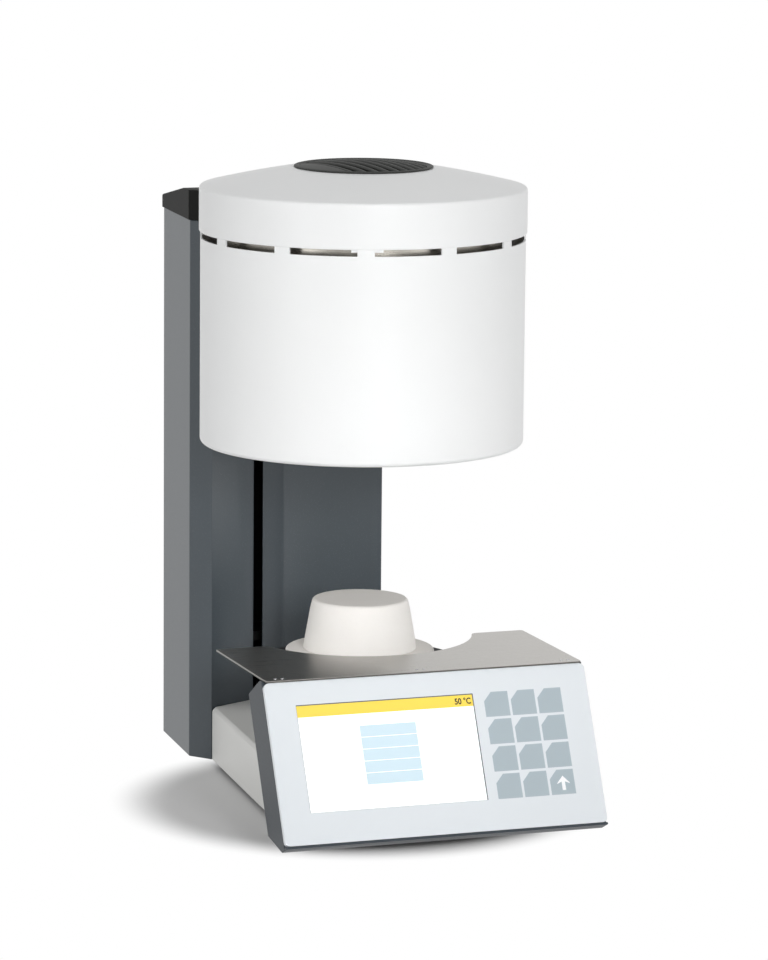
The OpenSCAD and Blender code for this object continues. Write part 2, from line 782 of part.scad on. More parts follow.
module hood_shell() {
    r_in = hood_r - hood_wall;
    color("white") difference() {
        translate([0, 0, hood_z]) rotate_extrude($fn = 128) polygon(concat(
            [[hood_r - lip_w, 0]],
            arc([hood_r - rim_round, rim_round], rim_round, 270, 360, 7),
            [[hood_r, hood_h], [r_in, hood_h], [r_in, lip_t], [hood_r - lip_w, lip_t]]));
        for (i = [0:vent_count - 1]) rotate([0, 0, -90 + vent_turn + i * vent_step - vent_arc / 2])
            translate([0, 0, vent_top - vent_h]) rotate_extrude(angle = vent_arc)
                translate([r_in - 1, 0]) square([hood_wall + 2, vent_h + 1]);
        translate([arm_x - arm_t / 2 - 2, hood_r - 40, arm_z - 3]) cube([arm_t + 4, 60, arm_h + 6]);
    }
}

// Lid profile: outer skin up the band, over the shoulder and up the cone
lid_slope = atan((lid_rise) / (lid_r - grille_r - 2));
lid_outer = concat([[lid_r, 0]],
    arc([lid_r - lid_round, lid_band - lid_round], lid_round, 0, 90 - lid_slope, 7),
    [[grille_r + 1.5, lid_band + lid_rise], [lid_hole_r, lid_band + lid_rise]]);

module hood_lid() {
    r_in = hood_r - lid_seat;
    lug_r = hood_r - hood_wall - fit_gap;
    ring_in = lug_r - lug_t - 0.4;
    color("white") translate([0, 0, seam_z]) {
        rotate_extrude($fn = 128) polygon(concat(lid_outer,
            [[lid_hole_r, lid_band + lid_rise - lid_t],
             [grille_r, lid_band + lid_rise - lid_t],
             [r_in - lid_round, lid_band - lid_t], [r_in, lid_band - lid_round], [r_in, 3],
             [ring_in, 3], [ring_in, 0], [lid_r, 0]]));
        for (i = [0:vent_count - 1]) rotate([0, 0, -90 + vent_turn + (i + 0.5) * vent_step - lug_arc / 2])
            translate([0, 0, -lug_drop]) rotate_extrude(angle = lug_arc, $fn = 128)
                translate([lug_r - lug_t, 0]) square([lug_t, lug_drop + 1]);
    }
}

module lid_grille() {
    dome_r = (grille_r * grille_r + grille_dome * grille_dome) / (2 * grille_dome);
    dome_a = asin(grille_r / dome_r);
    t = 2;
    collar_r = lid_hole_r - fit_gap;
    collar_in = lid_hole_r - 2;
    inner_a = asin(collar_in / (dome_r - t));
    centre = [0, grille_dome - dome_r];
    slit_r = collar_in - 0.5;
    color([0.06, 0.06, 0.07]) translate([0, 0, lid_top]) difference() {
        rotate_extrude() polygon(concat(arc(centre, dome_r, 90, 90 - dome_a, 10),
            [[collar_r, 0], [collar_r, -lid_t - 3], [collar_in, -lid_t - 3]],
            reversed(arc(centre, dome_r - t, 90, 90 - inner_a, 8))));
        rotate([0, 0, louvre_turn]) for (i = [0:louvre_count - 1]) {
            y = louvre_first + i * louvre_pitch;
            run = sqrt(pow(slit_r, 2) - pow(abs(y) + louvre_w / 2, 2));
            translate([-run, y - louvre_w / 2, -5]) cube([2 * run, louvre_w, 20]);
        }
    }
}

module inner_shell() {
    color("silver") translate([0, 0, floor_top]) rotate_extrude($fn = 128)
        translate([inner_r - inner_wall, 0]) square([inner_wall, top_plate_z - floor_top]);
}

module hood_floor() {
    color("silver") translate([0, 0, floor_z])
        tube(hood_r - hood_wall - seat_gap, seal_r + seat_gap, floor_t);
}

module hood_top_plate() {
    color("silver") translate([0, 0, top_plate_z]) difference() {
        cylinder(r = top_plate_r, h = top_plate_t);
        translate([0, 0, -1]) cylinder(r = probe_r + seat_gap, h = top_plate_t + 2);
        for (p = lead_spots) translate([p[0], p[1], -1]) cylinder(r = link_r + seat_gap, h = top_plate_t + 2);
        for (i = [0:5]) rotate([0, 0, i * 60]) translate([90, 0, -1]) cylinder(r = 9, h = top_plate_t + 2);
    }
}

module seal_ring() {
    color([0.93, 0.92, 0.9]) rotate_extrude() polygon([[chamber_r, seal_z], [seal_r - 2, seal_z],
        [seal_r, seal_z + 2], [seal_r, floor_top], [seal_flange_r, floor_top],
        [seal_flange_r, chamber_z], [chamber_r, chamber_z]]);
}

module muffle() {
    color([0.95, 0.93, 0.88]) difference() {
        translate([0, 0, chamber_z]) tube(muffle_r, chamber_r, chamber_h);
        for (i = [0:coil_turns - 1]) translate([0, 0, coil_z + i * coil_pitch])
            rotate_extrude($fn = 48) translate([coil_r, 0]) circle(r = groove_r, $fn = 16);
        for (p = [lead_spots[0], coil_ends[0], coil_ends[1]])
            translate([p[0], p[1], coil_z - link_r - seat_gap])
                cylinder(r = link_r + seat_gap, h = chamber_h);
    }
}

module muffle_roof() {
    color([0.95, 0.93, 0.88]) translate([0, 0, chamber_top]) difference() {
        cylinder(r = muffle_r, h = roof_t);
        translate([0, 0, -1]) cylinder(r = probe_r + seat_gap, h = roof_t + 2);
        for (p = lead_spots) translate([p[0], p[1], -1]) cylinder(r = link_r + seat_gap, h = roof_t + 2);
    }
}

module insulation_sleeve() {
    color([0.97, 0.97, 0.95]) translate([0, 0, floor_top])
        tube(inner_r - inner_wall - seat_gap, muffle_r + seat_gap, top_plate_z - floor_top);
}

module insulation_cap() {
    color([0.97, 0.97, 0.95]) translate([0, 0, roof_top]) difference() {
        cylinder(r = muffle_r, h = top_plate_z - roof_top);
        translate([0, 0, -1]) cylinder(r = probe_r + seat_gap, h = hood_h);
        for (p = lead_spots) translate([p[0], p[1], -1]) cylinder(r = link_r + seat_gap, h = hood_h);
    }
}

module heater_coil() {
    lead_top = top_plate_top + 10;
    color("darkorange") {
        for (i = [0:coil_turns - 1]) translate([0, 0, coil_z + i * coil_pitch])
            rotate([0, 0, i == 0 ? 90 : 90 + coil_gap])
                rotate_extrude(angle = i == 0 ? 360 - coil_gap : 360 - 2 * coil_gap, $fn = 48)
                    translate([coil_r, 0]) circle(r = wire_r, $fn = 14);
        for (i = [0:coil_turns - 2]) let (z = coil_z + i * coil_pitch - link_r)
            translate(concat(coil_ends[(i + 1) % 2], [z]))
                cylinder(r = link_r, h = coil_pitch + 2 * link_r, $fn = 24);
        for (i = [0, 1]) let (z = coil_z + i * (coil_turns - 1) * coil_pitch - link_r)
            translate(concat(lead_spots[i], [z])) cylinder(r = link_r, h = lead_top - z, $fn = 24);
    }
}

module heater_terminals() {
    color("white") difference() {
        translate([-8, coil_r - 9, top_plate_top]) cube([30, 16, 14]);
        for (p = lead_spots) translate([p[0], p[1], top_plate_top - 1])
            cylinder(r = link_r + seat_gap, h = 12.5);
    }
    color("silver") for (p = lead_spots) translate([p[0], p[1], top_plate_top + 14])
        cylinder(r = 3, h = 4, $fn = 6);
}

module thermocouple() {
    color("ivory") {
        translate([0, 0, chamber_top - probe_reach])
            cylinder(r = probe_r, h = top_plate_top - chamber_top + probe_reach + 1, $fn = 32);
        translate([0, 0, top_plate_top]) cylinder(r = 8, h = 14, $fn = 48);
    }
}

module hood_bracket() {
    body_h = vent_top - vent_h - 4 - floor_top;
    color("slategray") translate([0, bracket_y, floor_top]) {
        translate([arm_x - bracket_w / 2, 0, 0]) cube([bracket_w, bracket_t, body_h]);
        translate([arm_x - bracket_tongue / 2, 0, body_h])
            cube([bracket_tongue, bracket_t, top_plate_z - floor_top - body_h]);
    }
}

module lift_arm() {
    color("slategray") {
        translate([arm_x - arm_t / 2, bracket_back, arm_z])
            cube([arm_t, carriage_y - bracket_back, arm_h]);
        translate([arm_x - arm_flange_w / 2, carriage_y - arm_flange_t, arm_z])
            cube([arm_flange_w, arm_flange_t, arm_h]);
    }
}

module arm_screws() {
    color("silver") for (sx = [-1, 1], z = [arm_z + 22, arm_z + arm_h - 22])
        translate([arm_x + sx * (arm_flange_w / 2 - 10), carriage_y - arm_flange_t, z]) rotate([90, 0, 0])
            difference() {
                cylinder(r = 5, h = 6);
                translate([0, 0, 3]) cylinder(r = 2.9, h = 4, $fn = 6);
            }
}

module lift_carriage() {
    color("lightsteelblue") difference() {
        translate([-carriage_w / 2, carriage_y, carriage_z]) cube([carriage_w, carriage_d, carriage_h]);
        for (s = [-1, 1]) translate([s * rod_half, spindle_y, carriage_z - 1])
            cylinder(r = bush_r + run_gap, h = carriage_h + 2);
        translate([0, spindle_y, carriage_z - 1]) cylinder(r = nut_r + run_gap, h = carriage_h + 2);
    }
}

module guide_bushes() {
    color("peru") for (s = [-1, 1], z = [carriage_z, carriage_z + carriage_h - bush_h])
        translate([s * rod_half, spindle_y, z]) tube(bush_r, rod_r + run_gap, bush_h);
}

module spindle_nut() {
    color("gold") translate([0, spindle_y, carriage_z - nut_flange_h]) difference() {
        union() {
            cylinder(r = nut_flange_r, h = nut_flange_h);
            cylinder(r = nut_r, h = nut_flange_h + 40);
        }
        translate([0, 0, -1]) cylinder(r = spindle_r + run_gap, h = 60);
    }
}

place() base_cover();
place() base_plate();
place() rubber_feet();
place() base_screws();
place() column_shell();
place() rear_cover();
place() column_cap();
place() lift_frame();
place() guide_rods();
place() spindle_bearings();
place() lift_motor();
place() power_supply();
place() power_inlet();
place() switch_frame();
place() fuse_holders();
place() hose_nipple();
place() rear_screws();
place() vacuum_valve();
place() panel_housing();
place() glass_front();
place() display_module();
place() touch_board();
place() control_board();
place() deck_plate();
place() deck_brackets();
place() table_pedestal();
place() table_flange();
place() table_ring();
place() hood_shell();
place() hood_lid();
place() lid_grille();
place() inner_shell();
place() hood_floor();
place() hood_top_plate();
place() seal_ring();
place() muffle();
place() muffle_roof();
place() insulation_sleeve();
place() insulation_cap();
place() heater_coil();
place() heater_terminals();
place() thermocouple();
place() hood_bracket();
place() lift_arm();
place() arm_screws();
place() lift_carriage();
place() guide_bushes();
place() spindle_nut();
place() lift_spindle();
place() shaft_coupling();
place() motor_shaft();
place() switch_rocker();
place() firing_plug();
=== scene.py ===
import json
import math
import bpy
import bmesh
from mathutils import Matrix, Vector, noise


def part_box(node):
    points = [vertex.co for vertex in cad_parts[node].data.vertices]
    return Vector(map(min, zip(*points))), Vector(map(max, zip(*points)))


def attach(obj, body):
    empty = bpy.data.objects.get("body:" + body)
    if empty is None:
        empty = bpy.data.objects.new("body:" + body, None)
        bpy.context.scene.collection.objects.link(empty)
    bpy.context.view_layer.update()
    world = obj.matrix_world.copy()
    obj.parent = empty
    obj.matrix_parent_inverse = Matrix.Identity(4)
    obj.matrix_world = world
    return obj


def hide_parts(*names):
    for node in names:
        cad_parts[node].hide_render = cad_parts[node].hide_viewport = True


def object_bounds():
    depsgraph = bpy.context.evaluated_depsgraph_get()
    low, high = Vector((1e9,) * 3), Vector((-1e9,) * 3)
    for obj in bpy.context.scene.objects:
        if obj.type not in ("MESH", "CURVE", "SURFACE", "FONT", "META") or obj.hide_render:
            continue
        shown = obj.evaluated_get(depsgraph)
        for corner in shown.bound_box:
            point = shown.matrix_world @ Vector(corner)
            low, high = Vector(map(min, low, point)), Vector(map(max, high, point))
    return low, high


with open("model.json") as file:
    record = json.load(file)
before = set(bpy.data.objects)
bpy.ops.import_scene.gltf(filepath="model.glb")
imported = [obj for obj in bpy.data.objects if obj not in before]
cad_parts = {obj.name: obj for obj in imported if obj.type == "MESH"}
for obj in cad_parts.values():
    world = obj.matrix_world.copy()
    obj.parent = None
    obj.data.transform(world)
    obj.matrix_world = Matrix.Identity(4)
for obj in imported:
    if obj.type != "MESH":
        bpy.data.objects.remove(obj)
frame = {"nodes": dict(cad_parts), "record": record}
cadLow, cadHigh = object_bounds()
nodes = frame["nodes"]
mm = 0.001
weldMade = 0.004 * mm  # vertices of a made shape that are closer than this are one
weldSolid = 0.002 * mm  # the same for a solid of the frame

plugLow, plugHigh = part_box("firing_plug")
axisY = (plugLow.y + plugHigh.y) / 2  # the firing axis stands at x = 0 and this y
hoodLow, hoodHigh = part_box("hood_shell")
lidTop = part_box("hood_lid")[1].z / mm
deckLow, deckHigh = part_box("deck_plate")
print("frame loaded", [round(v, 4) for v in cadLow], [round(v, 4) for v in cadHigh])


# sums on sockets are written as Python expressions
class Wire:
    def __init__(self, graph, socket):
        self.graph = graph
        self.socket = socket

    def math(self, operation, *others):
        return self.graph.math(operation, self, *others)

    def __add__(self, other):
        return self.math("ADD", other)

    def __sub__(self, other):
        return self.math("SUBTRACT", other)

    def __rsub__(self, other):
        return self.graph.math("SUBTRACT", other, self)

    def __mul__(self, other):
        return self.math("MULTIPLY", other)

    def __truediv__(self, other):
        return self.math("DIVIDE", other)

    def __rtruediv__(self, other):
        return self.graph.math("DIVIDE", other, self)

    def __lt__(self, other):
        return self.math("LESS_THAN", other)

    __radd__ = __add__
    __rmul__ = __mul__


class Graph:
    def __init__(self, tree):
        self.tree = tree
        tree.nodes.clear()

    # any kind of node, with its settings, its sockets and the output to go on with
    def put(self, kind, settings=None, sockets=None, out=0):
        node = self.tree.nodes.new(kind)
        for key, value in (settings or {}).items():
            setattr(node, key, value)
        for key, value in (sockets or {}).items():
            socket = node.inputs[key]
            if isinstance(value, Wire):
                self.tree.links.new(value.socket, socket)
            elif value is not None:
                socket.default_value = value
        return Wire(self, node.outputs[out]) if len(node.outputs) else node

    def math(self, operation, *values):
        return self.put("ShaderNodeMath", {"operation": operation}, dict(enumerate(values)))

    def mix(self, factor, a, b):
        a, b = [(*c, 1) if isinstance(c, tuple) else c for c in (a, b)]
        return self.put("ShaderNodeMix", {"data_type": "RGBA"}, {0: factor, 6: a, 7: b}, 2)

    # 1 for what the camera sees, straight on, mirrored or through glass
    def seen(self):
        kinds = ("Is Camera Ray", "Is Glossy Ray", "Is Transmission Ray")
        straight, mirrored, through = [self.put("ShaderNodeLightPath", out=kind) for kind in kinds]
        return (straight + mirrored + through).math("MINIMUM", 1.0)


# a colour as the eye reads it, from 11 to 255, made linear
def linear(r, g, b):
    return tuple(((v / 255 + 0.055) / 1.055) ** 2.4 for v in (r, g, b))


# a value that a wire from 0 to 1 moves up and down
def about(middle, wire, spread):
    return middle + (wire - 0.5) * spread


class Finish(Graph):
    def __init__(self, name):
        self.material = bpy.data.materials.new(name)
        self.material.use_nodes = True
        super().__init__(self.material.node_tree)
        self.place = self.put("ShaderNodeTexCoord", out="Object")

    def noise(self, scale, detail, stretch=None, rough=0.5, distortion=0.0):
        place = self.place
        if stretch:
            place = self.put("ShaderNodeMapping", {}, {"Vector": place, "Scale": stretch})
        return self.put("ShaderNodeTexNoise", {}, {
            "Vector": place, "Scale": scale, "Detail": detail, "Roughness": rough,
            "Distortion": distortion})

    # round spots about as far apart as pitch, in millimetres
    def spots(self, pitch, edge):
        cells = self.put("ShaderNodeTexVoronoi", {}, {
            "Vector": self.place, "Scale": 1 / (pitch * mm)})
        return self.put("ShaderNodeMapRange", {}, {
            0: cells, 1: edge, 2: edge * 0.5, 3: 0.0, 4: 1.0})

    # from a darker to a lighter shade of the colour
    def shaded(self, factor, colour, down, up):
        return self.mix(factor, tuple(c * down for c in colour),
                        tuple(min(c * up, 1) for c in colour))

    def bump(self, height, depth, strength):
        return self.put("ShaderNodeBump", {}, {
            "Height": height, "Distance": depth * mm, "Strength": strength})

    def done(self, colour, roughness, metallic, normal, more=None):
        shader = self.put("ShaderNodeBsdfPrincipled", {}, {
            "Base Color": colour, "Roughness": roughness, "Metallic": metallic, "Normal": normal,
            **(more or {})})
        self.put("ShaderNodeOutputMaterial", {}, {"Surface": shader})
        return self.material


def powderCoat(name, colour, rough, grain, depth, speckleGlint=0.0, gloss=0.5):
    m = Finish(name)
    peel = m.noise(1 / (grain * mm), detail=2.0)
    cloud = m.noise(9.0, detail=3.0)
    tone = m.shaded(cloud, colour, down=0.965, up=1.035)
    # flecks in the coat painted lighter than the paint: partly the flecks' own colour, partly
    # painted glints
    if speckleGlint:
        glint = tuple(min(c * 3 + 0.1, 1) for c in colour)
        tone = m.mix(m.spots(pitch=1.1, edge=0.16) * speckleGlint, tone, glint)
    return m.done(tone, about(rough, peel, spread=0.12), 0.0, m.bump(peel, depth, strength=0.6),
                  {"Specular IOR Level": gloss})


# the height under which the metal is painted dark, as painted shade
def brushed(name, colour, rough, stretch, contrast, depth, paintedShadeBelow=None):
    m = Finish(name)
    streak = m.noise(1.0, detail=4.0, stretch=stretch, rough=0.65)
    cloud = m.noise(14.0, detail=2.0)
    tone = m.shaded(0.75 * streak + 0.25 * cloud, colour, 1 - contrast, 1 + contrast)
    # painted shade: under that height the metal is painted at a third of its colour
    if paintedShadeBelow:
        height = m.put("ShaderNodeSeparateXYZ", {}, {0: m.place}, "Z")
        tone = m.mix(height < paintedShadeBelow, tone, tuple(c * 0.3 for c in colour))
    return m.done(tone, about(rough, streak, spread=0.22), 1.0, m.bump(streak, depth, strength=0.5))


def plainMetal(name, colour, rough):
    m = Finish(name)
    cloud = m.noise(60.0, detail=4.0)
    scuff = m.noise(1.0, detail=3.0, stretch=(300, 1500, 300), rough=0.6)
    tone = m.shaded(cloud, colour, down=0.9, up=1.06)
    worn = about(about(rough, scuff, spread=0.15), cloud, spread=0.1)
    return m.done(tone, worn, 1.0, m.bump(scuff, depth=0.01, strength=0.5))


def mouldedPlastic(name, colour, rough, grain=0.6, gloss=0.5):
    m = Finish(name)
    cells = m.noise(1 / (grain * mm), detail=3.0, rough=0.7)
    wear = m.noise(25.0, detail=4.0)
    tone = m.shaded(wear, colour, down=0.9, up=1.12)
    return m.done(tone, about(rough, cells, spread=0.14), 0.0,
                  m.bump(cells, depth=0.02, strength=0.6), {"Specular IOR Level": gloss})


def firedCeramic(name, colour, shade, pores=1.0):
    m = Finish(name)
    cloud = m.noise(34.0, detail=5.0, rough=0.6)
    grit = m.noise(1 / (0.9 * mm), detail=4.0, rough=0.7)
    # painted shade: the pores are painted darker, as shade in the hollows
    hole = m.spots(pitch=2.6, edge=0.2) * pores
    tone = m.mix(cloud, colour, shade)
    tone = m.mix(hole * 0.35, tone, tuple(c * 0.6 for c in shade))
    height = grit * 0.6 + cloud * 0.8 - hole * 1.2
    return m.done(tone, about(0.82, grit, spread=0.2), 0.0,
                  m.bump(height, depth=0.22, strength=0.6))


def printedGlass(name, colour, rough=0.07, glow=0.0):
    m = Finish(name)
    smear = m.noise(18.0, detail=4.0, rough=0.6, distortion=0.6)
    tone = m.shaded(smear, colour, down=0.985, up=1.015)
    return m.done(tone, about(rough, smear, spread=0.05), 0.0, None,
                  {"Emission Color": (*colour, 1), "Emission Strength": glow})


# painted shade: the deck's cut edges are painted dark from this far under its top
deckEdgeShade = 0.3 * mm  # the deck's cut edges look dark from this far under its top

finishes = {
    "light_grey_coat": powderCoat("lightGreyCoat", linear(234, 234, 231),
                                  rough=0.5, grain=0.9, depth=0.03),
    "anthracite_coat": powderCoat("anthraciteCoat", linear(63, 71, 77),
                                  rough=0.38, grain=0.7, depth=0.05, speckleGlint=0.5, gloss=0.6),
    "white_coat": powderCoat("whiteCoat", linear(240, 241, 241), rough=0.38, grain=1.3, depth=0.03),
    "black_plastic": mouldedPlastic("blackPlastic", linear(58, 59, 57), rough=0.55, gloss=0.16),
    "dark_grey_plastic": powderCoat("panelCoat", linear(52, 59, 65),
                                    rough=0.42, grain=0.8, depth=0.03, gloss=0.3),
    "black_rubber": mouldedPlastic("blackRubber", linear(34, 34, 34), rough=0.8),
    "zinc_sheet": plainMetal("zincSheet", linear(188, 190, 192), rough=0.42),
    "brushed_steel": brushed("deckSteel", linear(172, 169, 164), rough=0.3,
                             stretch=(30, 2600, 2600), contrast=0.12, depth=0.02,
                             paintedShadeBelow=deckHigh.z - deckEdgeShade),
    "polished_steel": brushed("polishedSteel", linear(172, 168, 160), rough=0.28,
                              stretch=(60, 60, 1400), contrast=0.05, depth=0.004),
    "bearing_steel": plainMetal("bearingSteel", linear(196, 197, 199), rough=0.22),
    "black_coat": powderCoat("blackCoat", linear(30, 30, 31), rough=0.4, grain=0.8, depth=0.04),
    "aluminium": plainMetal("millAluminium", linear(206, 208, 210), rough=0.32),
    "brass": plainMetal("turnedBrass", linear(206, 172, 104), rough=0.25),
    "bronze": plainMetal("bearingBronze", linear(176, 128, 84), rough=0.34),
    "firing_ceramic": firedCeramic("firingCeramic", linear(253, 250, 246), linear(248, 245, 240),
                                   pores=0.25),
    "muffle_ceramic": firedCeramic("muffleCeramic", linear(236, 228, 214), linear(219, 208, 192)),
    "fibre_insulation": firedCeramic("fibreInsulation", linear(240, 239, 234),
                                     linear(226, 225, 220), pores=0.2),
    "heater_wire": plainMetal("heaterWire", linear(120, 108, 98), rough=0.6),
    "terminal_ceramic": firedCeramic("terminalCeramic", linear(238, 236, 228),
                                     linear(229, 226, 216), pores=0.0),
    "white_glass": printedGlass("printedGlass", linear(225, 230, 234)),
    "display": printedGlass("displayBack", linear(210, 214, 218), rough=0.2),
    "board_green": mouldedPlastic("circuitBoard", linear(38, 96, 62), rough=0.35, grain=1.4),
    "motor_black": powderCoat("motorBlack", linear(36, 37, 39), rough=0.4, grain=0.7, depth=0.03),
}
slotOf = {part["node"]: part["material_slot"] for part in frame["record"]["subparts"]}
for nodeName, obj in nodes.items():
    obj.data.materials.clear()
    obj.data.materials.append(finishes[slotOf[nodeName]])
# painted black as painted shade, so that the lift slot looks dark
for nodeName in ("shaft_coupling", "spindle_bearings", "lift_carriage", "lift_frame"):
    nodes[nodeName].data.materials[0] = finishes["black_coat"]
print("finishes ready", len(finishes))


def settle(obj, body, *replaced, slot=None):
    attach(obj, body)
    if replaced:
        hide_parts(*replaced)
    return obj


def linked(name, data):
    obj = bpy.data.objects.new(name, data)
    bpy.context.scene.collection.objects.link(obj)
    return obj


def wrap(name, mesh, material, sharpAngle=32.0, smooth=True):
    if material:
        mesh.materials.clear()
        mesh.materials.append(material)
    if smooth:
        mesh.shade_smooth()
        mesh.set_sharp_from_angle(angle=math.radians(sharpAngle))
    return linked(name, mesh)


def toMesh(name, bm):
    mesh = bpy.data.meshes.new(name)
    bm.to_mesh(mesh)
    bm.free()
    return mesh


def toObject(name, bm, material, sharpAngle=32.0, smooth=True):
    bmesh.ops.remove_doubles(bm, verts=bm.verts, dist=weldMade)
    bmesh.ops.recalc_face_normals(bm, faces=bm.faces)
    return wrap(name, toMesh(name, bm), material, sharpAngle, smooth)


# the object's final mesh; the object itself goes
def baked(name, obj):
    seenBy = bpy.context.evaluated_depsgraph_get()
    mesh = bpy.data.meshes.new_from_object(obj.evaluated_get(seenBy))
    bpy.data.objects.remove(obj)
    mesh.name = name
    return mesh


flatWithin = 0.8  # degrees between faces of a solid that count as one flat face
solidSharp = 60.0  # degrees from which a rounded solid still shows a sharp edge


# the solid's own shape with its edges rounded
def dressed(name, body, *nodeNames, width=0.6, segments=3, angle=20.0, material=None):
    bm = bmesh.new()
    for nodeName in nodeNames:
        bm.from_mesh(nodes[nodeName].data)
    bmesh.ops.remove_doubles(bm, verts=bm.verts, dist=weldSolid)
    bmesh.ops.dissolve_limit(bm, angle_limit=math.radians(flatWithin), verts=bm.verts,
                             edges=bm.edges)
    obj = wrap(name, toMesh(name, bm), material or finishes[slotOf[nodeNames[0]]], solidSharp)
    bevel = obj.modifiers.new("edges", "BEVEL")
    bevel.width = width * mm
    bevel.segments = segments
    bevel.limit_method = "ANGLE"
    bevel.angle_limit = math.radians(angle)
    bevel.harden_normals = True
    return settle(obj, body, *nodeNames)


def arc(r, z, radius, start, end, steps):
    turn = [math.radians(start + (end - start) * i / steps) for i in range(steps + 1)]
    return [(r + radius * math.cos(a), z + radius * math.sin(a)) for a in turn]


# points given as steps inwards and upwards from a corner
def stepped(r, z, steps):
    return [(r - inwards, z + upwards) for inwards, upwards in steps]


# vertices at (radius, height) points in millimetres, turned about an upright axis at y
def spoke(bm, profile, angle, y=0.0):
    return [bm.verts.new((r * mm * math.cos(angle), y + r * mm * math.sin(angle), z * mm))
            for r, z in profile]


# faces between rows of vertices, where each row may close on itself
def skin(bm, rows, closed):
    for a, b in zip(rows, rows[1:]):
        for j in range(len(a) if closed else len(a) - 1):
            n = (j + 1) % len(a)
            bm.faces.new((a[j], a[n], b[n], b[j]))


onAxis = 1e-6  # a radius below this is a point on the axis


# revolves (radius, height) points in millimetres about the firing axis
def turned(name, profile, material, segments=180, closed=True, sharpAngle=32.0):
    bm = bmesh.new()
    rings = [spoke(bm, profile, 2 * math.pi * k / segments, axisY) for k in range(segments)]
    for k in range(segments):
        here, there = rings[k], rings[(k + 1) % segments]
        for j in range(len(profile) if closed else len(profile) - 1):
            n = (j + 1) % len(profile)
            corners = [here[j], there[j], there[n], here[n]]
            if profile[j][0] < onAxis:
                corners.pop(1)
            elif profile[n][0] < onAxis:
                corners.pop(2)
            if profile[j][0] > onAxis or profile[n][0] > onAxis:
                bm.faces.new(corners)
    return toObject(name, bm, material, sharpAngle)


# runs a geometry tree on a source object and keeps the result as a plain mesh
def grown(name, source, treeName, inputs, body, slot=None, replaced=()):
    modifier = source.modifiers.new("grow", "NODES")
    modifier.node_group = bpy.data.node_groups[treeName]
    for item in modifier.node_group.interface.items_tree:
        if item.in_out == "INPUT" and item.name in inputs:
            modifier[item.identifier] = inputs[item.name]
    source.update_tag()
    return settle(wrap(name, baked(name, source), None), body, *replaced, slot=slot)


class GeometryTree(Graph):
    def __init__(self, name, **inputs):
        tree = bpy.data.node_groups.new(name, "GeometryNodeTree")
        super().__init__(tree)
        for key, kind in {"Geometry": "Geometry", **inputs}.items():
            tree.interface.new_socket(name=key, in_out="INPUT", socket_type="NodeSocket" + kind)
        tree.interface.new_socket(name="Geometry", in_out="OUTPUT",
                                  socket_type="NodeSocketGeometry")
        self.entry = tree.nodes.new("NodeGroupInput")

    def given(self, key):
        return Wire(self, self.entry.outputs[key])

    # the points of a line, each one step further on
    def line(self, count, start=None, step=(0, 0, 0)):
        return self.put("GeometryNodeMeshLine", {"mode": "OFFSET"}, {
            "Count": count, "Start Location": start, "Offset": step})

    def vector(self, **sums):
        return self.put("ShaderNodeCombineXYZ", {}, {"XYZ".index(k): v for k, v in sums.items()})

    def copies(self, points, shape, **more):
        return self.put("GeometryNodeInstanceOnPoints", {}, {
            "Points": points, "Instance": shape, **more})

    def finish(self, geometry):
        real = self.put("GeometryNodeRealizeInstances", {}, {0: geometry})
        painted = self.put("GeometryNodeSetMaterial", {}, {
            0: real, "Material": self.given("Material")})
        self.put("NodeGroupOutput", {}, {0: painted})


# copies a shape round the axis, the first turned by First
def buildRingTree():
    g = GeometryTree("ringOfCopies", Count="Int", First="Float", Centre="Vector",
                     Material="Material")
    centres = g.line(g.given("Count"), g.given("Centre"))
    step = 2 * math.pi / g.given("Count").math("MAXIMUM", 1)
    turn = g.given("First") + g.put("GeometryNodeInputIndex") * step
    g.finish(g.copies(centres, g.given("Geometry"), Rotation=g.vector(Z=turn)))


# copies a shape in rows and columns, in the plane of Right and Up
def buildGridTree():
    g = GeometryTree("gridOfCopies", Columns="Int", Rows="Int", Right="Vector", Up="Vector",
                     Material="Material")
    index = g.put("GeometryNodeInputIndex")
    column = index.math("MODULO", g.given("Columns"))
    row = (index / g.given("Columns")).math("FLOOR")
    across, upwards = [g.put("ShaderNodeVectorMath", {"operation": "SCALE"}, {
        0: g.given(way), "Scale": count}) for way, count in (("Right", column), ("Up", row))]
    move = g.put("ShaderNodeVectorMath", {"operation": "ADD"}, {0: across, 1: upwards})
    spots = g.put("GeometryNodeSetPosition", {}, {
        0: g.line(g.given("Columns") * g.given("Rows")), "Position": move})
    g.finish(g.copies(spots, g.given("Geometry")))


# puts a shape on every vertex, turned as asked
def buildSpotTree():
    g = GeometryTree("copiesAtSpots", Shape="Object", Turn="Vector", Material="Material")
    shape = g.put("GeometryNodeObjectInfo", {}, {
        "Object": g.given("Shape"), "As Instance": True}, "Geometry")
    g.finish(g.copies(g.given("Geometry"), shape, Rotation=g.given("Turn")))


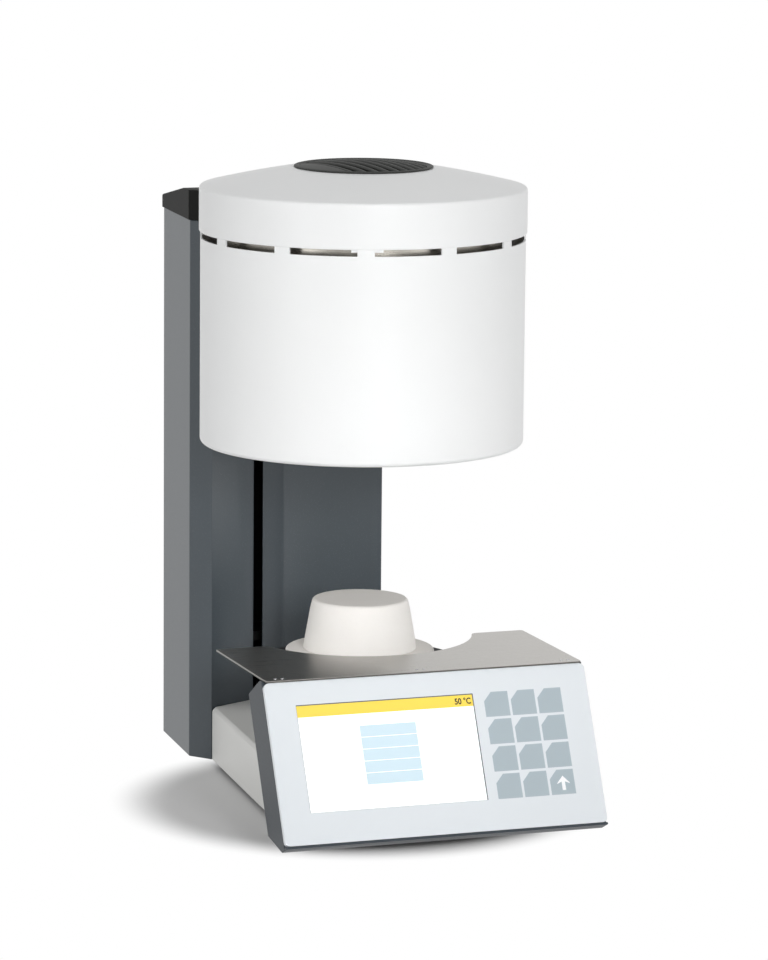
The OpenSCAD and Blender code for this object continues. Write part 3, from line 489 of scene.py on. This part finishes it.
# ribs laid over a dome, each as long as its chord, side by side from First
def buildLouvreTree():
    pointsAlong, cornerSteps, cornerShare = 25, 4, 0.42
    g = GeometryTree("domedLouvres", Count="Int", First="Float", Pitch="Float", Width="Float",
                     Depth="Float", Reach="Float", Sphere="Float", Turn="Float",
                     Centre="Vector", Material="Material")
    starts = g.line(g.given("Count"), g.vector(Y=g.given("First")), g.vector(Y=g.given("Pitch")))
    y = g.put("ShaderNodeSeparateXYZ", {}, {0: g.put("GeometryNodeInputPosition")}, "Y")
    reach = g.given("Reach")
    half = (reach * reach - y * y).math("MAXIMUM", 1e-6).math("SQRT")
    bar = g.put("GeometryNodeCurvePrimitiveLine", {}, {"Start": (-1, 0, 0), "End": (1, 0, 0)})
    bar = g.put("GeometryNodeResampleCurve", {}, {"Curve": bar, "Count": pointsAlong})
    bars = g.copies(starts, bar, Scale=g.vector(X=half, Y=1.0, Z=1.0))
    bars = g.put("GeometryNodeRealizeInstances", {}, {0: bars})
    here = g.put("GeometryNodeInputPosition")
    x, y = [g.put("ShaderNodeSeparateXYZ", {}, {0: here}, letter) for letter in "XY"]
    sphere = g.given("Sphere")
    sag = (sphere * sphere - x * x - y * y).math("SQRT") - sphere
    bars = g.put("GeometryNodeSetPosition", {}, {0: bars, "Offset": g.vector(Z=sag)})
    rib = g.put("GeometryNodeCurvePrimitiveQuadrilateral", {}, {
        "Width": g.given("Width"), "Height": g.given("Depth")})
    rib = g.put("GeometryNodeFilletCurve", {"mode": "POLY"}, {
        "Curve": rib, "Count": cornerSteps, "Radius": g.given("Width") * cornerShare})
    solid = g.put("GeometryNodeCurveToMesh", {}, {
        "Curve": bars, "Profile Curve": rib, "Fill Caps": True})
    g.finish(g.put("GeometryNodeTransform", {}, {
        0: solid, "Translation": g.given("Centre"), "Rotation": g.vector(Z=g.given("Turn"))}))


buildRingTree()
buildGridTree()
buildSpotTree()
buildLouvreTree()
print("geometry trees ready")

flatSharp = 15.0  # degrees, low enough to keep the front of a plate shaded flat


# an outline in x and z, in millimetres, stands proud towards -y and is put in place by matrix
def plate(name, outline, thickness, matrix, material=None, bevel=0.0):
    bm = bmesh.new()
    back = [bm.verts.new((x * mm, 0, z * mm)) for x, z in outline]
    front = [bm.verts.new((x * mm, -thickness * mm, z * mm)) for x, z in outline]
    bm.faces.new(back)
    bm.faces.new(front[::-1])
    for i in range(len(outline)):
        n = (i + 1) % len(outline)
        bm.faces.new((back[n], back[i], front[i], front[n]))
    if bevel:
        rim = [e for e in bm.edges if all(v in front for v in e.verts)]
        bmesh.ops.bevel(bm, geom=rim, offset=bevel * mm, segments=2, affect="EDGES", profile=0.6)
    bmesh.ops.transform(bm, matrix=matrix, verts=bm.verts)
    return toObject(name, bm, material, flatSharp)


def roundedBox(x0, x1, z0, z1, radius, steps=5):
    corners = [(x1 - radius, z1 - radius, 0), (x0 + radius, z1 - radius, 90),
               (x0 + radius, z0 + radius, 180), (x1 - radius, z0 + radius, 270)]
    return [p for cx, cz, a in corners for p in arc(cx, cz, radius, a, a + 90, steps)]


hood = {"radius": 135.0, "wall": 1.5, "rim": 4.0, "rimSteps": 8, "lip": 9.0, "lipThick": 2.0,
        "rows": (60.0, 12.0), "slots": 12, "slotHeight": 5.4, "gap": 5.9, "turn": -3.45,
        "slotSteps": 10, "gapSteps": 3, "sharp": 40.0,
        "armWide": 10.0, "armDeep": 60.0, "armY": 125.0, "armClear": 6.0}
frontAngle = -90.0  # degrees about the axis, towards -y


def makeHoodShell():
    low, top = hoodLow.z / mm, hoodHigh.z / mm
    sill = top - hood["slotHeight"]
    outer, rim = hood["radius"], hood["rim"]
    inner, lipIn, lipTop = outer - hood["wall"], outer - hood["lip"], low + hood["lipThick"]
    profile = [(outer, top), (outer, sill)] + [(outer, low + row) for row in hood["rows"]]
    profile += arc(outer - rim, low + rim, rim, 0, -90, hood["rimSteps"])
    profile += [(lipIn, low), (lipIn, lipTop), (inner, lipTop), (inner, sill), (inner, top)]
    last = len(profile) - 1
    step = 360 / hood["slots"]
    wide = step - hood["gap"]
    cuts = []
    for i in range(hood["slots"]):
        start = frontAngle + hood["turn"] + i * step - wide / 2
        for begin, width, steps, isOpen in ((start, wide, hood["slotSteps"], True),
                                            (start + wide, hood["gap"], hood["gapSteps"], False)):
            cuts += [(begin + width * k / steps, isOpen) for k in range(steps)]
    bm = bmesh.new()
    rings = [spoke(bm, profile, math.radians(angle), axisY) for angle, _ in cuts]
    for k, (_, isOpen) in enumerate(cuts):
        here, there = rings[k], rings[(k + 1) % len(rings)]
        for j in range(last + 1):
            n = (j + 1) % (last + 1)
            if not (isOpen and j in (0, last - 1, last)):
                bm.faces.new((here[j], there[j], there[n], here[n]))
        if isOpen:
            bm.faces.new((here[1], there[1], there[last - 1], here[last - 1]))
        if isOpen != cuts[k - 1][1]:
            bm.faces.new((here[0], here[1], here[last - 1], here[last]))
    shell = toObject("hoodShell", bm, finishes["white_coat"], hood["sharp"])
    armLow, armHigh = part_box("lift_arm")
    bracket = [v.co.x for v in nodes["hood_bracket"].data.vertices]
    bm = bmesh.new()
    bmesh.ops.create_cube(bm, size=1.0)
    bmesh.ops.scale(bm, verts=bm.verts, vec=(
        hood["armWide"] * mm, hood["armDeep"] * mm, armHigh.z - armLow.z + hood["armClear"] * mm))
    bmesh.ops.translate(bm, verts=bm.verts, vec=(
        sum(bracket) / len(bracket), axisY + hood["armY"] * mm, (armLow.z + armHigh.z) / 2))
    cutter = toObject("armOpening", bm, None, smooth=False)
    cut = shell.modifiers.new("armOpening", "BOOLEAN")
    cut.object = cutter
    cut.operation = "DIFFERENCE"
    cut.solver = "EXACT"
    mesh = baked("hoodShell", shell)
    bpy.data.objects.remove(cutter)
    settle(wrap("hoodShell", mesh, finishes["white_coat"], hood["sharp"]), "hood", "hood_shell")


lid = {"over": 1.1, "height": 53.0, "band": 37.7, "shoulder": 2.6, "shoulderSteps": 10,
       "crown": 900.0, "crownSteps": 16, "crownEnd": (1.0, 0.35), "wall": 1.6, "hole": 54.0,
       "holeLip": 4.0, "rim": 59.5, "rimFade": ((0.5, -0.05), (1.5, 0.0)), "lip": 0.9,
       "lipFrom": -80, "lipSteps": 4, "hold": 4.0, "inside": 1.0, "ledge": 3.0, "ringGap": 0.4,
       "lugs": 4, "firstLug": -108.0, "lugWide": 11.2, "lugThick": 1.4, "lugDrop": 0.42,
       "lugGap": 0.2, "lugRoot": 1.0, "lugSteps": 6}


def makeLid():
    top = lidTop
    low = top - lid["height"]
    edge = low + lid["band"]
    outer = hood["radius"] + lid["over"]
    inner = hood["radius"] - lid["inside"]
    lugOut = hood["radius"] - hood["wall"] - lid["lugGap"]
    lugIn = lugOut - lid["lugThick"]
    ringIn = lugIn - lid["ringGap"]
    s, t, lip, hold = lid["shoulder"], lid["wall"], lid["lip"], lid["hold"]
    start = Vector((outer - s, edge))
    end = Vector((lid["rim"] + lid["crownEnd"][0], top - lid["crownEnd"][1]))
    chord = end - start
    side = Vector((chord.y, -chord.x)).normalized()  # towards the inside of the crown
    if side.y > 0:
        side = -side
    centre = (start + end) / 2 + side * math.sqrt(lid["crown"] ** 2 - (chord.length / 2) ** 2)
    turnFrom, turnTo = [math.degrees(math.atan2(p.y - centre.y, p.x - centre.x))
                        for p in (start, end)]
    profile = [(ringIn, low), (outer - lip, low)]
    profile += arc(outer - lip, low + lip, lip, lid["lipFrom"], 0, lid["lipSteps"])
    profile += [(outer, low + hold), (outer, edge - s - hold)]
    profile += arc(outer - s, edge - s, s, 0, turnFrom, lid["shoulderSteps"])
    profile += arc(centre.x, centre.y, lid["crown"], turnFrom, turnTo, lid["crownSteps"])[1:]
    profile += stepped(lid["rim"], top, lid["rimFade"]) + [(lid["hole"], top)]
    profile += [(lid["hole"], top - t), (lid["hole"] + lid["holeLip"], top - t),
                (inner - s, edge - t - lid["inside"]), (inner, edge - s - lid["inside"]),
                (inner, low + lid["ledge"]), (ringIn, low + lid["ledge"])]
    settle(turned("hoodLid", profile, finishes["white_coat"], sharpAngle=hood["sharp"]),
           "hood", "hood_lid")
    half = math.radians(lid["lugWide"] / 2)
    root, tip = low + lid["lugRoot"], low - lid["lugDrop"] * hood["slotHeight"]
    section = [(lugOut, root), (lugOut, tip), (lugIn, tip), (lugIn, root)]
    bm = bmesh.new()
    rows = [spoke(bm, section, half * (2 * i / lid["lugSteps"] - 1))
            for i in range(lid["lugSteps"] + 1)]
    skin(bm, rows, True)
    bm.faces.new(rows[0])
    bm.faces.new(rows[-1][::-1])
    grown("lidLugs", toObject("lugShape", bm, None), "ringOfCopies",
          {"Count": lid["lugs"], "First": math.radians(lid["firstLug"]), "Centre": (0, axisY, 0),
           "Material": finishes["white_coat"]}, "hood", "white_coat")


# the rim's points lie above the dome, above its foot and above the lid, the dish's above the dome
grille = {"ribs": 10, "first": -33.8, "pitch": 9.1, "width": 4.9, "depth": 3.4, "reach": 53.5,
          "dome": 5.0, "radius": 58.0, "turn": -78.0, "segment": -37.3, "segmentWall": 2.5,
          "segmentRows": 12, "segmentColumns": 20, "foot": 0.7, "rimSegments": 128,
          "rimOnDome": ((52.4, -3.0), (52.4, -0.2), (53.2, 0.2)),
          "rimOnFoot": ((55.4, 1.2), (57.2, 0.8), (57.8, 0.4), (57.8, 0.0), (56.6, 0.0)),
          "rimOnLid": ((56.4, 0.02), (53.8, 0.02), (53.8, -3.0)),
          "dish": ((0, -4.4), (0, -3.6), (30, -3.6), (52.6, -2.6), (52.6, -3.4)),
          "dishSegments": 96}
# painted shade: a near-black dish under the louvres keeps the gaps between the ribs dark
paintedShadeDish = mouldedPlastic("paintedShadeDish", linear(16, 16, 16), rough=0.8, gloss=0.05)


def makeGrille():
    top, dome, reach = lidTop, grille["dome"], grille["reach"]
    sphere = (grille["radius"] * grille["radius"] + dome ** 2) / (2 * dome)

    def height(radius):
        return top + dome - sphere + math.sqrt(sphere ** 2 - radius ** 2)

    black = finishes["black_plastic"]
    rim = [(r, height(r) + z) for r, z in grille["rimOnDome"]]
    rim += [(r, top + grille["foot"] + z) for r, z in grille["rimOnFoot"]]
    rim += [(r, top + z) for r, z in grille["rimOnLid"]]
    settle(turned("grilleRim", rim, black, grille["rimSegments"]), "hood", "lid_grille")
    dish = [(r, height(r) + z) for r, z in grille["dish"]]
    settle(turned("grilleDish", dish, paintedShadeDish, grille["dishSegments"]),
           "hood", slot="black_plastic")
    source = linked("louvreSource", bpy.data.meshes.new("louvreSource"))
    crown = (top + dome - grille["depth"] / 2) * mm
    lengths = {key.capitalize(): grille[key] * mm
               for key in ("first", "pitch", "width", "depth", "reach")}
    grown("grilleLouvres", source, "domedLouvres",
          {"Count": grille["ribs"], **lengths, "Sphere": sphere * mm,
           "Turn": math.radians(grille["turn"]), "Centre": (0, axisY, crown),
           "Material": black}, "hood", "black_plastic")
    turn = Matrix.Translation((0, axisY, 0))
    turn = turn @ Matrix.Rotation(math.radians(grille["turn"]), 4, "Z")
    bm = bmesh.new()
    rows = []
    for i in range(grille["segmentRows"] + 1):
        y = grille["segment"] + (-reach - grille["segment"]) * i / grille["segmentRows"]
        half = math.sqrt(max(reach ** 2 - y * y, 0.01))
        xs = [half * (2 * j / grille["segmentColumns"] - 1)
              for j in range(grille["segmentColumns"] + 1)]
        rows.append([bm.verts.new((x * mm, y * mm, height(math.hypot(x, y)) * mm)) for x in xs])
    skin(bm, rows, False)
    bmesh.ops.transform(bm, matrix=turn, verts=bm.verts)
    segment = toObject("grilleSegment", bm, black)
    if segment.data.polygons[0].normal.z < 0:
        segment.data.flip_normals()
    wall = segment.modifiers.new("wall", "SOLIDIFY")
    wall.thickness = grille["segmentWall"] * mm
    wall.offset = -1
    settle(segment, "hood", slot="black_plastic")


innerShell = {"outer": 122.0, "inner": 120.8}


def makeInnerShell():
    low, high = [corner.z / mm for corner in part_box("inner_shell")]
    outer, inner = innerShell["outer"], innerShell["inner"]
    profile = [(outer, low), (outer, high), (inner, high), (inner, low)]
    settle(turned("innerShell", profile, finishes["polished_steel"]), "hood", "inner_shell")


makeHoodShell()
makeLid()
makeGrille()
makeInnerShell()
print("hood ready")

# a foot, a dip and the like are steps inwards and upwards from their corner
tableRing = {"radius": 62.5, "round": 2.0, "roundSteps": 6, "bore": 12, "hold": 1.0,
             "foot": ((1, 0), (0.2, 0.4), (0, 1.5)), "rows": (56.5, 50, 30),
             "grain": 5, "dent": 0.12, "seed": 3}
flange = {"radius": 88.0, "lip": 2.5, "lipSteps": 8, "bore": 20, "sunk": 1.5,
          "foot": ((2, 0), (0.6, 0.5), (0, 2)), "dip": ((3.7, -0.3), (5.0, -1.2), (6.5, -1.5))}
plug = {"low": 47.9, "top": 40.5, "round": 3.0, "roundSteps": 8, "foot": ((1, 0), (0.2, 0.5)),
        "floor": 30, "sideSteps": 10, "topSteps": 8, "grain": 4, "dent": 0.16, "seed": 9}


# small unevenness as cast ceramic has, drawn in from the surface
def roughen(obj, grain, dent, seed):
    finer = 2.7
    for v in obj.data.vertices:
        p = v.co * (1 / (grain * mm))
        amount = noise.noise(p + Vector((seed, 0, 0))) * 0.5
        amount += noise.noise(p * finer + Vector((0, seed, 0))) * 0.25
        v.co -= v.normal * (amount + 0.5) * dent * mm
    return obj


def makeTable():
    low, high = [corner.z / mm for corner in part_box("table_ring")]
    r, c = tableRing["radius"], tableRing["round"]
    profile = [(tableRing["bore"], high), (tableRing["bore"], low)]
    profile += stepped(r, low, tableRing["foot"]) + [(r, high - c - tableRing["hold"])]
    profile += arc(r - c, high - c, c, 0, 90, tableRing["roundSteps"])
    profile += [(row, high) for row in tableRing["rows"]]
    ring = turned("tableRing", profile, finishes["firing_ceramic"])
    settle(roughen(ring, tableRing["grain"], tableRing["dent"], tableRing["seed"]),
           "stand", "table_ring")
    low, high = [corner.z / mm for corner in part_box("table_flange")]
    r, c = flange["radius"], flange["lip"]
    profile = [(flange["bore"], high - flange["sunk"]), (flange["bore"], low)]
    profile += stepped(r, low, flange["foot"]) + [(r, high - c)]
    profile += arc(r - c, high - c, c, 0, 90, flange["lipSteps"])
    profile += stepped(r, high, flange["dip"])
    settle(turned("tableFlange", profile, finishes["black_coat"]), "stand", "table_flange")


def makePlug():
    low, high = plugLow.z / mm, plugHigh.z / mm
    rise, taper = high - low, plug["top"] - plug["low"]
    c, n = plug["round"], plug["sideSteps"]
    lean = math.degrees(math.atan(-taper / rise))
    profile = [(0, low), (plug["floor"], low)] + stepped(plug["low"], low, plug["foot"])
    profile += [(plug["low"] + taper * k / n, low + rise * k / n) for k in range(1, n - 1)]
    profile += arc(plug["top"] - c, high - c, c, lean, 90, plug["roundSteps"])
    profile += [(plug["top"] * k / plug["topSteps"], high)
                for k in reversed(range(plug["topSteps"]))]
    body = turned("firingPlug", profile, finishes["firing_ceramic"], closed=False)
    settle(roughen(body, plug["grain"], plug["dent"], plug["seed"]), "plug", "firing_plug")


makeTable()
makePlug()
print("firing table ready")

capBlack = mouldedPlastic("capBlack", linear(27, 27, 26), rough=0.6, gloss=0.1)
dressed("columnSheet", "stand", "column_shell", width=1.1)
dressed("columnCap", "stand", "column_cap", width=0.9, angle=12, material=capBlack)
dressed("baseCover", "stand", "base_cover", width=1.2, angle=18)
dressed("panelHousing", "stand", "panel_housing", width=1.2)
dressed("deckPlate", "stand", "deck_plate", width=0.3, segments=2, angle=30)
dressed("rearCover", "stand", "rear_cover", width=0.3, segments=2, angle=30)
dressed("deckBrackets", "stand", "deck_brackets", width=0.4, segments=2)
dressed("tablePedestal", "stand", "table_pedestal", width=0.5, segments=2, angle=30)
dressed("mainsInlet", "stand", "power_inlet", width=0.4, segments=2, angle=30)
dressed("switchFrame", "stand", "switch_frame", width=0.4, segments=2, angle=30)
dressed("switchRocker", "rocker", "switch_rocker", width=0.4, segments=2, angle=30)
dressed("fuseHolders", "stand", "fuse_holders", width=0.4, segments=2, angle=30)
dressed("hoseNipple", "stand", "hose_nipple", width=0.3, segments=2, angle=30)
dressed("liftArm", "hood", "lift_arm", width=0.5, segments=2)
print("stand dressed")

panel = {"tilt": 26.0, "foot": 20.0, "width": 276.0, "height": 136.0}
panelFrame = Matrix.Translation((0, cadLow.y, panel["foot"] * mm))
panelFrame = panelFrame @ Matrix.Rotation(math.radians(-panel["tilt"]), 4, "X")
sideways = panelFrame.to_3x3() @ Vector((1, 0, 0))
upGlass = panelFrame.to_3x3() @ Vector((0, 0, 1))

# the lip is a strip of the housing that shows under the glass
glass = {"thick": 4.0, "corner": 4.0, "edge": 0.5, "gap": 0.1, "lip": 2.2, "lipRound": 1.0,
         "lipEdge": 0.4}


def makeGlass():
    behind = panelFrame @ Matrix.Translation((0, glass["thick"] * mm, 0))
    half = panel["width"] / 2
    front = roundedBox(-half, half, glass["lip"] + glass["gap"], panel["height"], glass["corner"])
    lip = roundedBox(-half, half, 0, glass["lip"], glass["lipRound"])
    settle(plate("frontGlass", front, glass["thick"], behind, finishes["white_glass"],
                 glass["edge"]), "stand", "glass_front")
    settle(plate("housingLip", lip, glass["thick"], behind, finishes["dark_grey_plastic"],
                 glass["lipEdge"]), "stand", slot="dark_grey_plastic")


# x and s run to the right and up the glass; the layers say how far each print stands proud
screen = {"x": -113.3, "s": 27.8, "width": 150.4, "height": 87.8, "round": 0.2, "header": 9.5,
          "borderLow": (0.2, 0.1), "borderHigh": (0.9, 0.9), "borderRound": 0.3,
          "barX": -62.4, "barWide": 48.0, "barHigh": 9.3, "barFirst": 86.9, "barPitch": -9.85,
          "barRound": 0.6, "bars": 5, "proud": 0.05,
          "layers": {"border": 0.6, "area": 1, "field": 1.5, "ink": 2},
          "digits": "50 °C", "digitSize": 6.9, "digitBold": 0.2, "digitWide": 0.86,
          "digitRight": 1.5, "digitDown": 7.3}
screenWhite = printedGlass("screenWhite", linear(250, 252, 253), rough=0.08, glow=0.25)
screenYellow = printedGlass("screenYellow", linear(248, 216, 84), rough=0.08, glow=0.1)
screenBlue = printedGlass("screenBlue", linear(206, 227, 237), rough=0.08, glow=0.1)
screenEdge = printedGlass("screenEdge", linear(96, 100, 106), rough=0.1)
digitInk = printedGlass("digitInk", linear(40, 42, 40), rough=0.15)


def makeScreen():
    x0, s0 = screen["x"], screen["s"]
    x1, s1 = x0 + screen["width"], s0 + screen["height"]
    left, under = screen["borderLow"]
    right, over = screen["borderHigh"]
    proud = {key: screen["proud"] * share for key, share in screen["layers"].items()}
    for name, box, radius, layer, paint in (
            ("screenBorder", (x0 - left, x1 + right, s0 - under, s1 + over),
             screen["borderRound"], "border", screenEdge),
            ("screenArea", (x0, x1, s0, s1), screen["round"], "area", screenWhite),
            ("screenHeader", (x0, x1, s1 - screen["header"], s1), screen["round"], "field",
             screenYellow)):
        settle(plate(name, roundedBox(*box, radius, 2), proud[layer], panelFrame, paint),
               "stand", slot="display")
    bar = roundedBox(screen["barX"], screen["barX"] + screen["barWide"], screen["barFirst"],
                     screen["barFirst"] + screen["barHigh"], screen["barRound"], 2)
    grown("menuBars", plate("barShape", bar, proud["field"], panelFrame), "gridOfCopies",
          {"Columns": 1, "Rows": screen["bars"], "Right": (0, 0, 0),
           "Up": tuple(upGlass * screen["barPitch"] * mm), "Material": screenBlue},
          "stand", "display")
    words = bpy.data.curves.new("degrees", "FONT")
    words.body = screen["digits"]
    words.size = screen["digitSize"] * mm
    words.align_x = "RIGHT"
    words.offset = screen["digitBold"] * mm
    mesh = baked("headerDigits", linked("degrees", words))
    lay = Matrix.Translation(((x1 - screen["digitRight"]) * mm, -proud["ink"] * mm,
                              (s1 - screen["digitDown"]) * mm))
    lay = lay @ Matrix.Rotation(math.pi / 2, 4, "X")
    lay = lay @ Matrix.Scale(screen["digitWide"], 4, (1, 0, 0))
    mesh.transform(panelFrame @ lay)
    settle(wrap("headerDigits", mesh, digitInk, smooth=False), "stand", slot="display")


# the arrow's corners lie about the middle of its key
keys = {"x": 46.9, "s": 27.7, "wide": 21.1, "high": 20.6, "cutX": 6.8, "cutS": 7.5,
        "columns": 3, "rows": 4, "pitchX": 23.2, "pitchS": 22.8, "proud": 0.05, "arrowX": 0.8,
        "arrow": ((-1.5, -6.9), (1.5, -6.9), (1.5, 0.2), (5.3, -1.4), (5.5, -0.9), (0, 5.1),
                  (-5.5, -0.9), (-5.3, -1.4), (-1.5, 0.2))}
keyBlue = printedGlass("keyBlue", linear(172, 185, 192), rough=0.09)
arrowWhite = printedGlass("arrowWhite", linear(250, 251, 252), rough=0.09)


def makeKeys():
    x, s, w, h = keys["x"], keys["s"], keys["wide"], keys["high"]
    shape = [(x, s), (x + w, s), (x + w, s + h), (x + keys["cutX"], s + h),
             (x, s + h - keys["cutS"])]
    grown("touchKeys", plate("keyShape", shape, keys["proud"], panelFrame), "gridOfCopies",
          {"Columns": keys["columns"], "Rows": keys["rows"],
           "Right": tuple(sideways * keys["pitchX"] * mm),
           "Up": tuple(upGlass * keys["pitchS"] * mm), "Material": keyBlue},
          "stand", "white_glass")
    cx = x + (keys["columns"] - 1) * keys["pitchX"] + w / 2 + keys["arrowX"]
    cs = s + h / 2
    settle(plate("arrowMark", [(cx + a, cs + b) for a, b in keys["arrow"]], keys["proud"] * 2,
                 panelFrame, arrowWhite), "stand", slot="white_glass")


makeGlass()
makeScreen()
makeKeys()
print("panel ready")

# shares of the radius or recess and of the height, from the underside up and into the recess
screw = {"head": ((1.0, 0.0), (1.0, 0.45), (0.9, 0.8), (0.66, 1.0)),
         "socket": ((1.0, 1.0), (0.96, 0.35)), "steps": 36, "sharp": 35.0}


# a low round head with a six-sided recess, its underside at z = 0
def screwShape(radius, height, recess):
    bm = bmesh.new()
    turns = [2 * math.pi * k / screw["steps"] for k in range(screw["steps"])]
    side = math.pi / 3
    rings = []
    for wide, high in screw["head"]:
        rings.append([spoke(bm, [(radius * wide, height * high)], a)[0] for a in turns])
    for wide, high in screw["socket"]:
        flats = [recess * wide * math.cos(side / 2) / math.cos((a % side) - side / 2)
                 for a in turns]
        rings.append([spoke(bm, [(flat, height * high)], a)[0] for flat, a in zip(flats, turns)])
    skin(bm, rings, True)
    bm.faces.new(rings[-1])
    bm.faces.new(rings[0][::-1])
    return toObject("screwShape", bm, None, screw["sharp"])


# the middle of each loose solid in a node, at its lowest point along the axis
def spotsOf(nodeName, axis):
    bm = bmesh.new()
    bm.from_mesh(nodes[nodeName].data)
    bmesh.ops.remove_doubles(bm, verts=bm.verts, dist=weldSolid)
    left = set(bm.verts)
    spots = []
    while left:
        stack = [left.pop()]
        group = list(stack)
        while stack:
            for e in stack.pop().link_edges:
                for v in e.verts:
                    if v in left:
                        left.remove(v)
                        stack.append(v)
                        group.append(v)
        low = Vector(map(min, zip(*(v.co for v in group))))
        high = Vector(map(max, zip(*(v.co for v in group))))
        spot = (low + high) / 2
        spot[axis] = low[axis]
        spots.append(spot)
    bm.free()
    return spots


def fasten(name, spots, turn, size, body, slot, replaced=()):
    mesh = bpy.data.meshes.new("spots")
    mesh.from_pydata([tuple(p) for p in spots], [], [])
    shape = screwShape(size["radius"], size["height"], size["recess"])
    grown(name, linked("spots", mesh), "copiesAtSpots",
          {"Shape": shape, "Turn": turn, "Material": finishes["bearing_steel"]},
          body, slot, replaced)
    bpy.data.objects.remove(shape)


rearScrew = {"radius": 3.6, "height": 2.0, "recess": 1.7}
rivet = {"radius": 1.3, "height": 0.5, "recess": 0.3, "x": (-123.0, -2.0, 124.0), "pair": 3.0,
         "inset": 7.5}
rivetSpots = [Vector(((x + side * rivet["pair"]) * mm, deckLow.y + rivet["inset"] * mm,
                      deckHigh.z)) for x in rivet["x"] for side in (-1, 1)]

fasten("rearScrews", spotsOf("rear_screws", 1), (-math.pi / 2, 0, 0), rearScrew, "stand", None,
       ("rear_screws",))
fasten("deckRivets", rivetSpots, (0, 0, 0), rivet, "stand", "bearing_steel")
print("fasteners ready")

# the floor's shadow ends between the two distances from the firing axis, in metres
studio = {"floorHalf": 16.0, "floorWhite": 0.86, "floorCloud": 0.995, "shadowFrom": 0.158,
          "shadowTo": 0.213, "skyLow": 0.8, "skyHigh": 0.26}
white = (1, 1, 1, 1)


# the paper looks white to the camera and in reflections, and keeps the furnace's shadow close to it
def makeFloor():
    bm = bmesh.new()
    bmesh.ops.create_grid(bm, x_segments=2, y_segments=2, size=studio["floorHalf"])
    floor = toObject("studioFloor", bm, None, smooth=False)
    m = Finish("floorPaper")
    cloud = m.noise(2.0, detail=2.0)
    pale = studio["floorWhite"]
    colour = m.mix(cloud, (pale * studio["floorCloud"],) * 3, (pale,) * 3)
    paper = m.put("ShaderNodeBsdfDiffuse", {}, {"Color": colour})
    out = m.put("ShaderNodeVectorMath", {"operation": "SUBTRACT"}, {0: m.place, 1: (0, axisY, 0)})
    away = m.put("ShaderNodeVectorMath", {"operation": "LENGTH"}, {0: out}, "Value")
    glow = m.put("ShaderNodeMapRange", {"interpolation_type": "SMOOTHSTEP"},
                 {0: away, 1: studio["shadowFrom"], 2: studio["shadowTo"], 3: 0.0, 4: 1.0})
    bright = m.put("ShaderNodeEmission", {}, {"Color": white, "Strength": 1.0})
    both = m.put("ShaderNodeMixShader", {}, {0: m.seen() * glow, 1: paper, 2: bright})
    m.put("ShaderNodeOutputMaterial", {}, {"Surface": both})
    floor.data.materials.append(m.material)


# white to the camera, and a softer light from above than from the sides
def makeSky():
    world = bpy.data.worlds.new("studioSky")
    world.use_nodes = True
    bpy.context.scene.world = world
    g = Graph(world.node_tree)
    seen = g.seen()
    place = g.put("ShaderNodeTexCoord", out="Generated")
    rise = g.put("ShaderNodeSeparateXYZ", {}, {0: place}, "Z").math("ABSOLUTE")
    light = rise * (studio["skyHigh"] - studio["skyLow"]) + studio["skyLow"]
    sky = g.put("ShaderNodeBackground", {}, {
        "Color": white, "Strength": seen + (1.0 - seen) * light})
    g.put("ShaderNodeOutputWorld", {}, {"Surface": sky})


# metres, watts and degrees
lamps = {
    "keyLamp": {"place": (-0.36, -3.4, 0.98), "aim": (0, 0, 0.3), "size": (0.9, 0.7),
                "power": 35.0, "spread": 180},
    "leftLamp": {"place": (-2.2, -1.3, 0.7), "aim": (0, 0, 0.3), "size": (0.7, 1.2),
                 "power": 6.5, "spread": 180},
    "rightLamp": {"place": (0.95, -2.35, 0.4), "aim": (0, 0, 0.3), "size": (0.6, 0.7),
                  "power": 2.0, "spread": 180},
    "fillLamp": {"place": (-0.2, -1.9, 0.8), "aim": (0, -0.05, 0.17), "size": (0.3, 0.25),
                 "power": 0.095, "spread": 22},
    "topLamp": {"place": (0.3, 0.2, 2.6), "aim": (0, 0, 0.25), "size": (1.8, 1.8),
                "power": 3.4, "spread": 180},
}


def makeLamp(name, place, aim, size, power, spread):
    data = bpy.data.lights.new(name, "AREA")
    data.shape = "RECTANGLE"
    data.size, data.size_y = size
    data.energy = power
    data.spread = math.radians(spread)
    obj = linked(name, data)
    obj.location = place
    obj.rotation_mode = "QUATERNION"
    obj.rotation_quaternion = (Vector(aim) - Vector(place)).to_track_quat("-Z", "Y")


# lengths in millimetres, focal and longSide in the photograph's pixels, near and far in metres
camera = {"focal": 4744.479, "longSide": 960, "sensor": 36.0, "near": 0.1, "far": 50.0,
          "pitch": 9.690, "azimuth": 19.803, "roll": 0.523,
          "distance": 3911.354, "height": 942.839, "aside": 19.152}


def makeCamera():
    a, p, roll = (math.radians(camera[k]) for k in ("azimuth", "pitch", "roll"))
    data = bpy.data.cameras.new("photoCamera")
    data.sensor_width = camera["sensor"]
    data.lens = camera["focal"] * camera["sensor"] / camera["longSide"]
    data.clip_start = camera["near"]
    data.clip_end = camera["far"]
    obj = linked("photoCamera", data)
    side = Vector((math.cos(a), -math.sin(a), 0))
    ahead = Vector((math.sin(a) * math.cos(p), math.cos(a) * math.cos(p), -math.sin(p)))
    up = side.cross(ahead)
    right = side * math.cos(roll) + up * math.sin(roll)
    above = up * math.cos(roll) - side * math.sin(roll)
    place = Vector((-math.sin(a), -math.cos(a), 0)) * camera["distance"] + side * camera["aside"]
    place = place * mm + Vector((0, axisY, camera["height"] * mm))
    turn = Matrix((right, above, -ahead)).transposed().to_4x4()
    obj.matrix_world = Matrix.Translation(place) @ turn
    bpy.context.scene.camera = obj


makeFloor()
makeSky()
for lampName, facts in lamps.items():
    makeLamp(lampName, **facts)
makeCamera()
bpy.context.scene.view_settings.view_transform = "Standard"
print("studio ready")
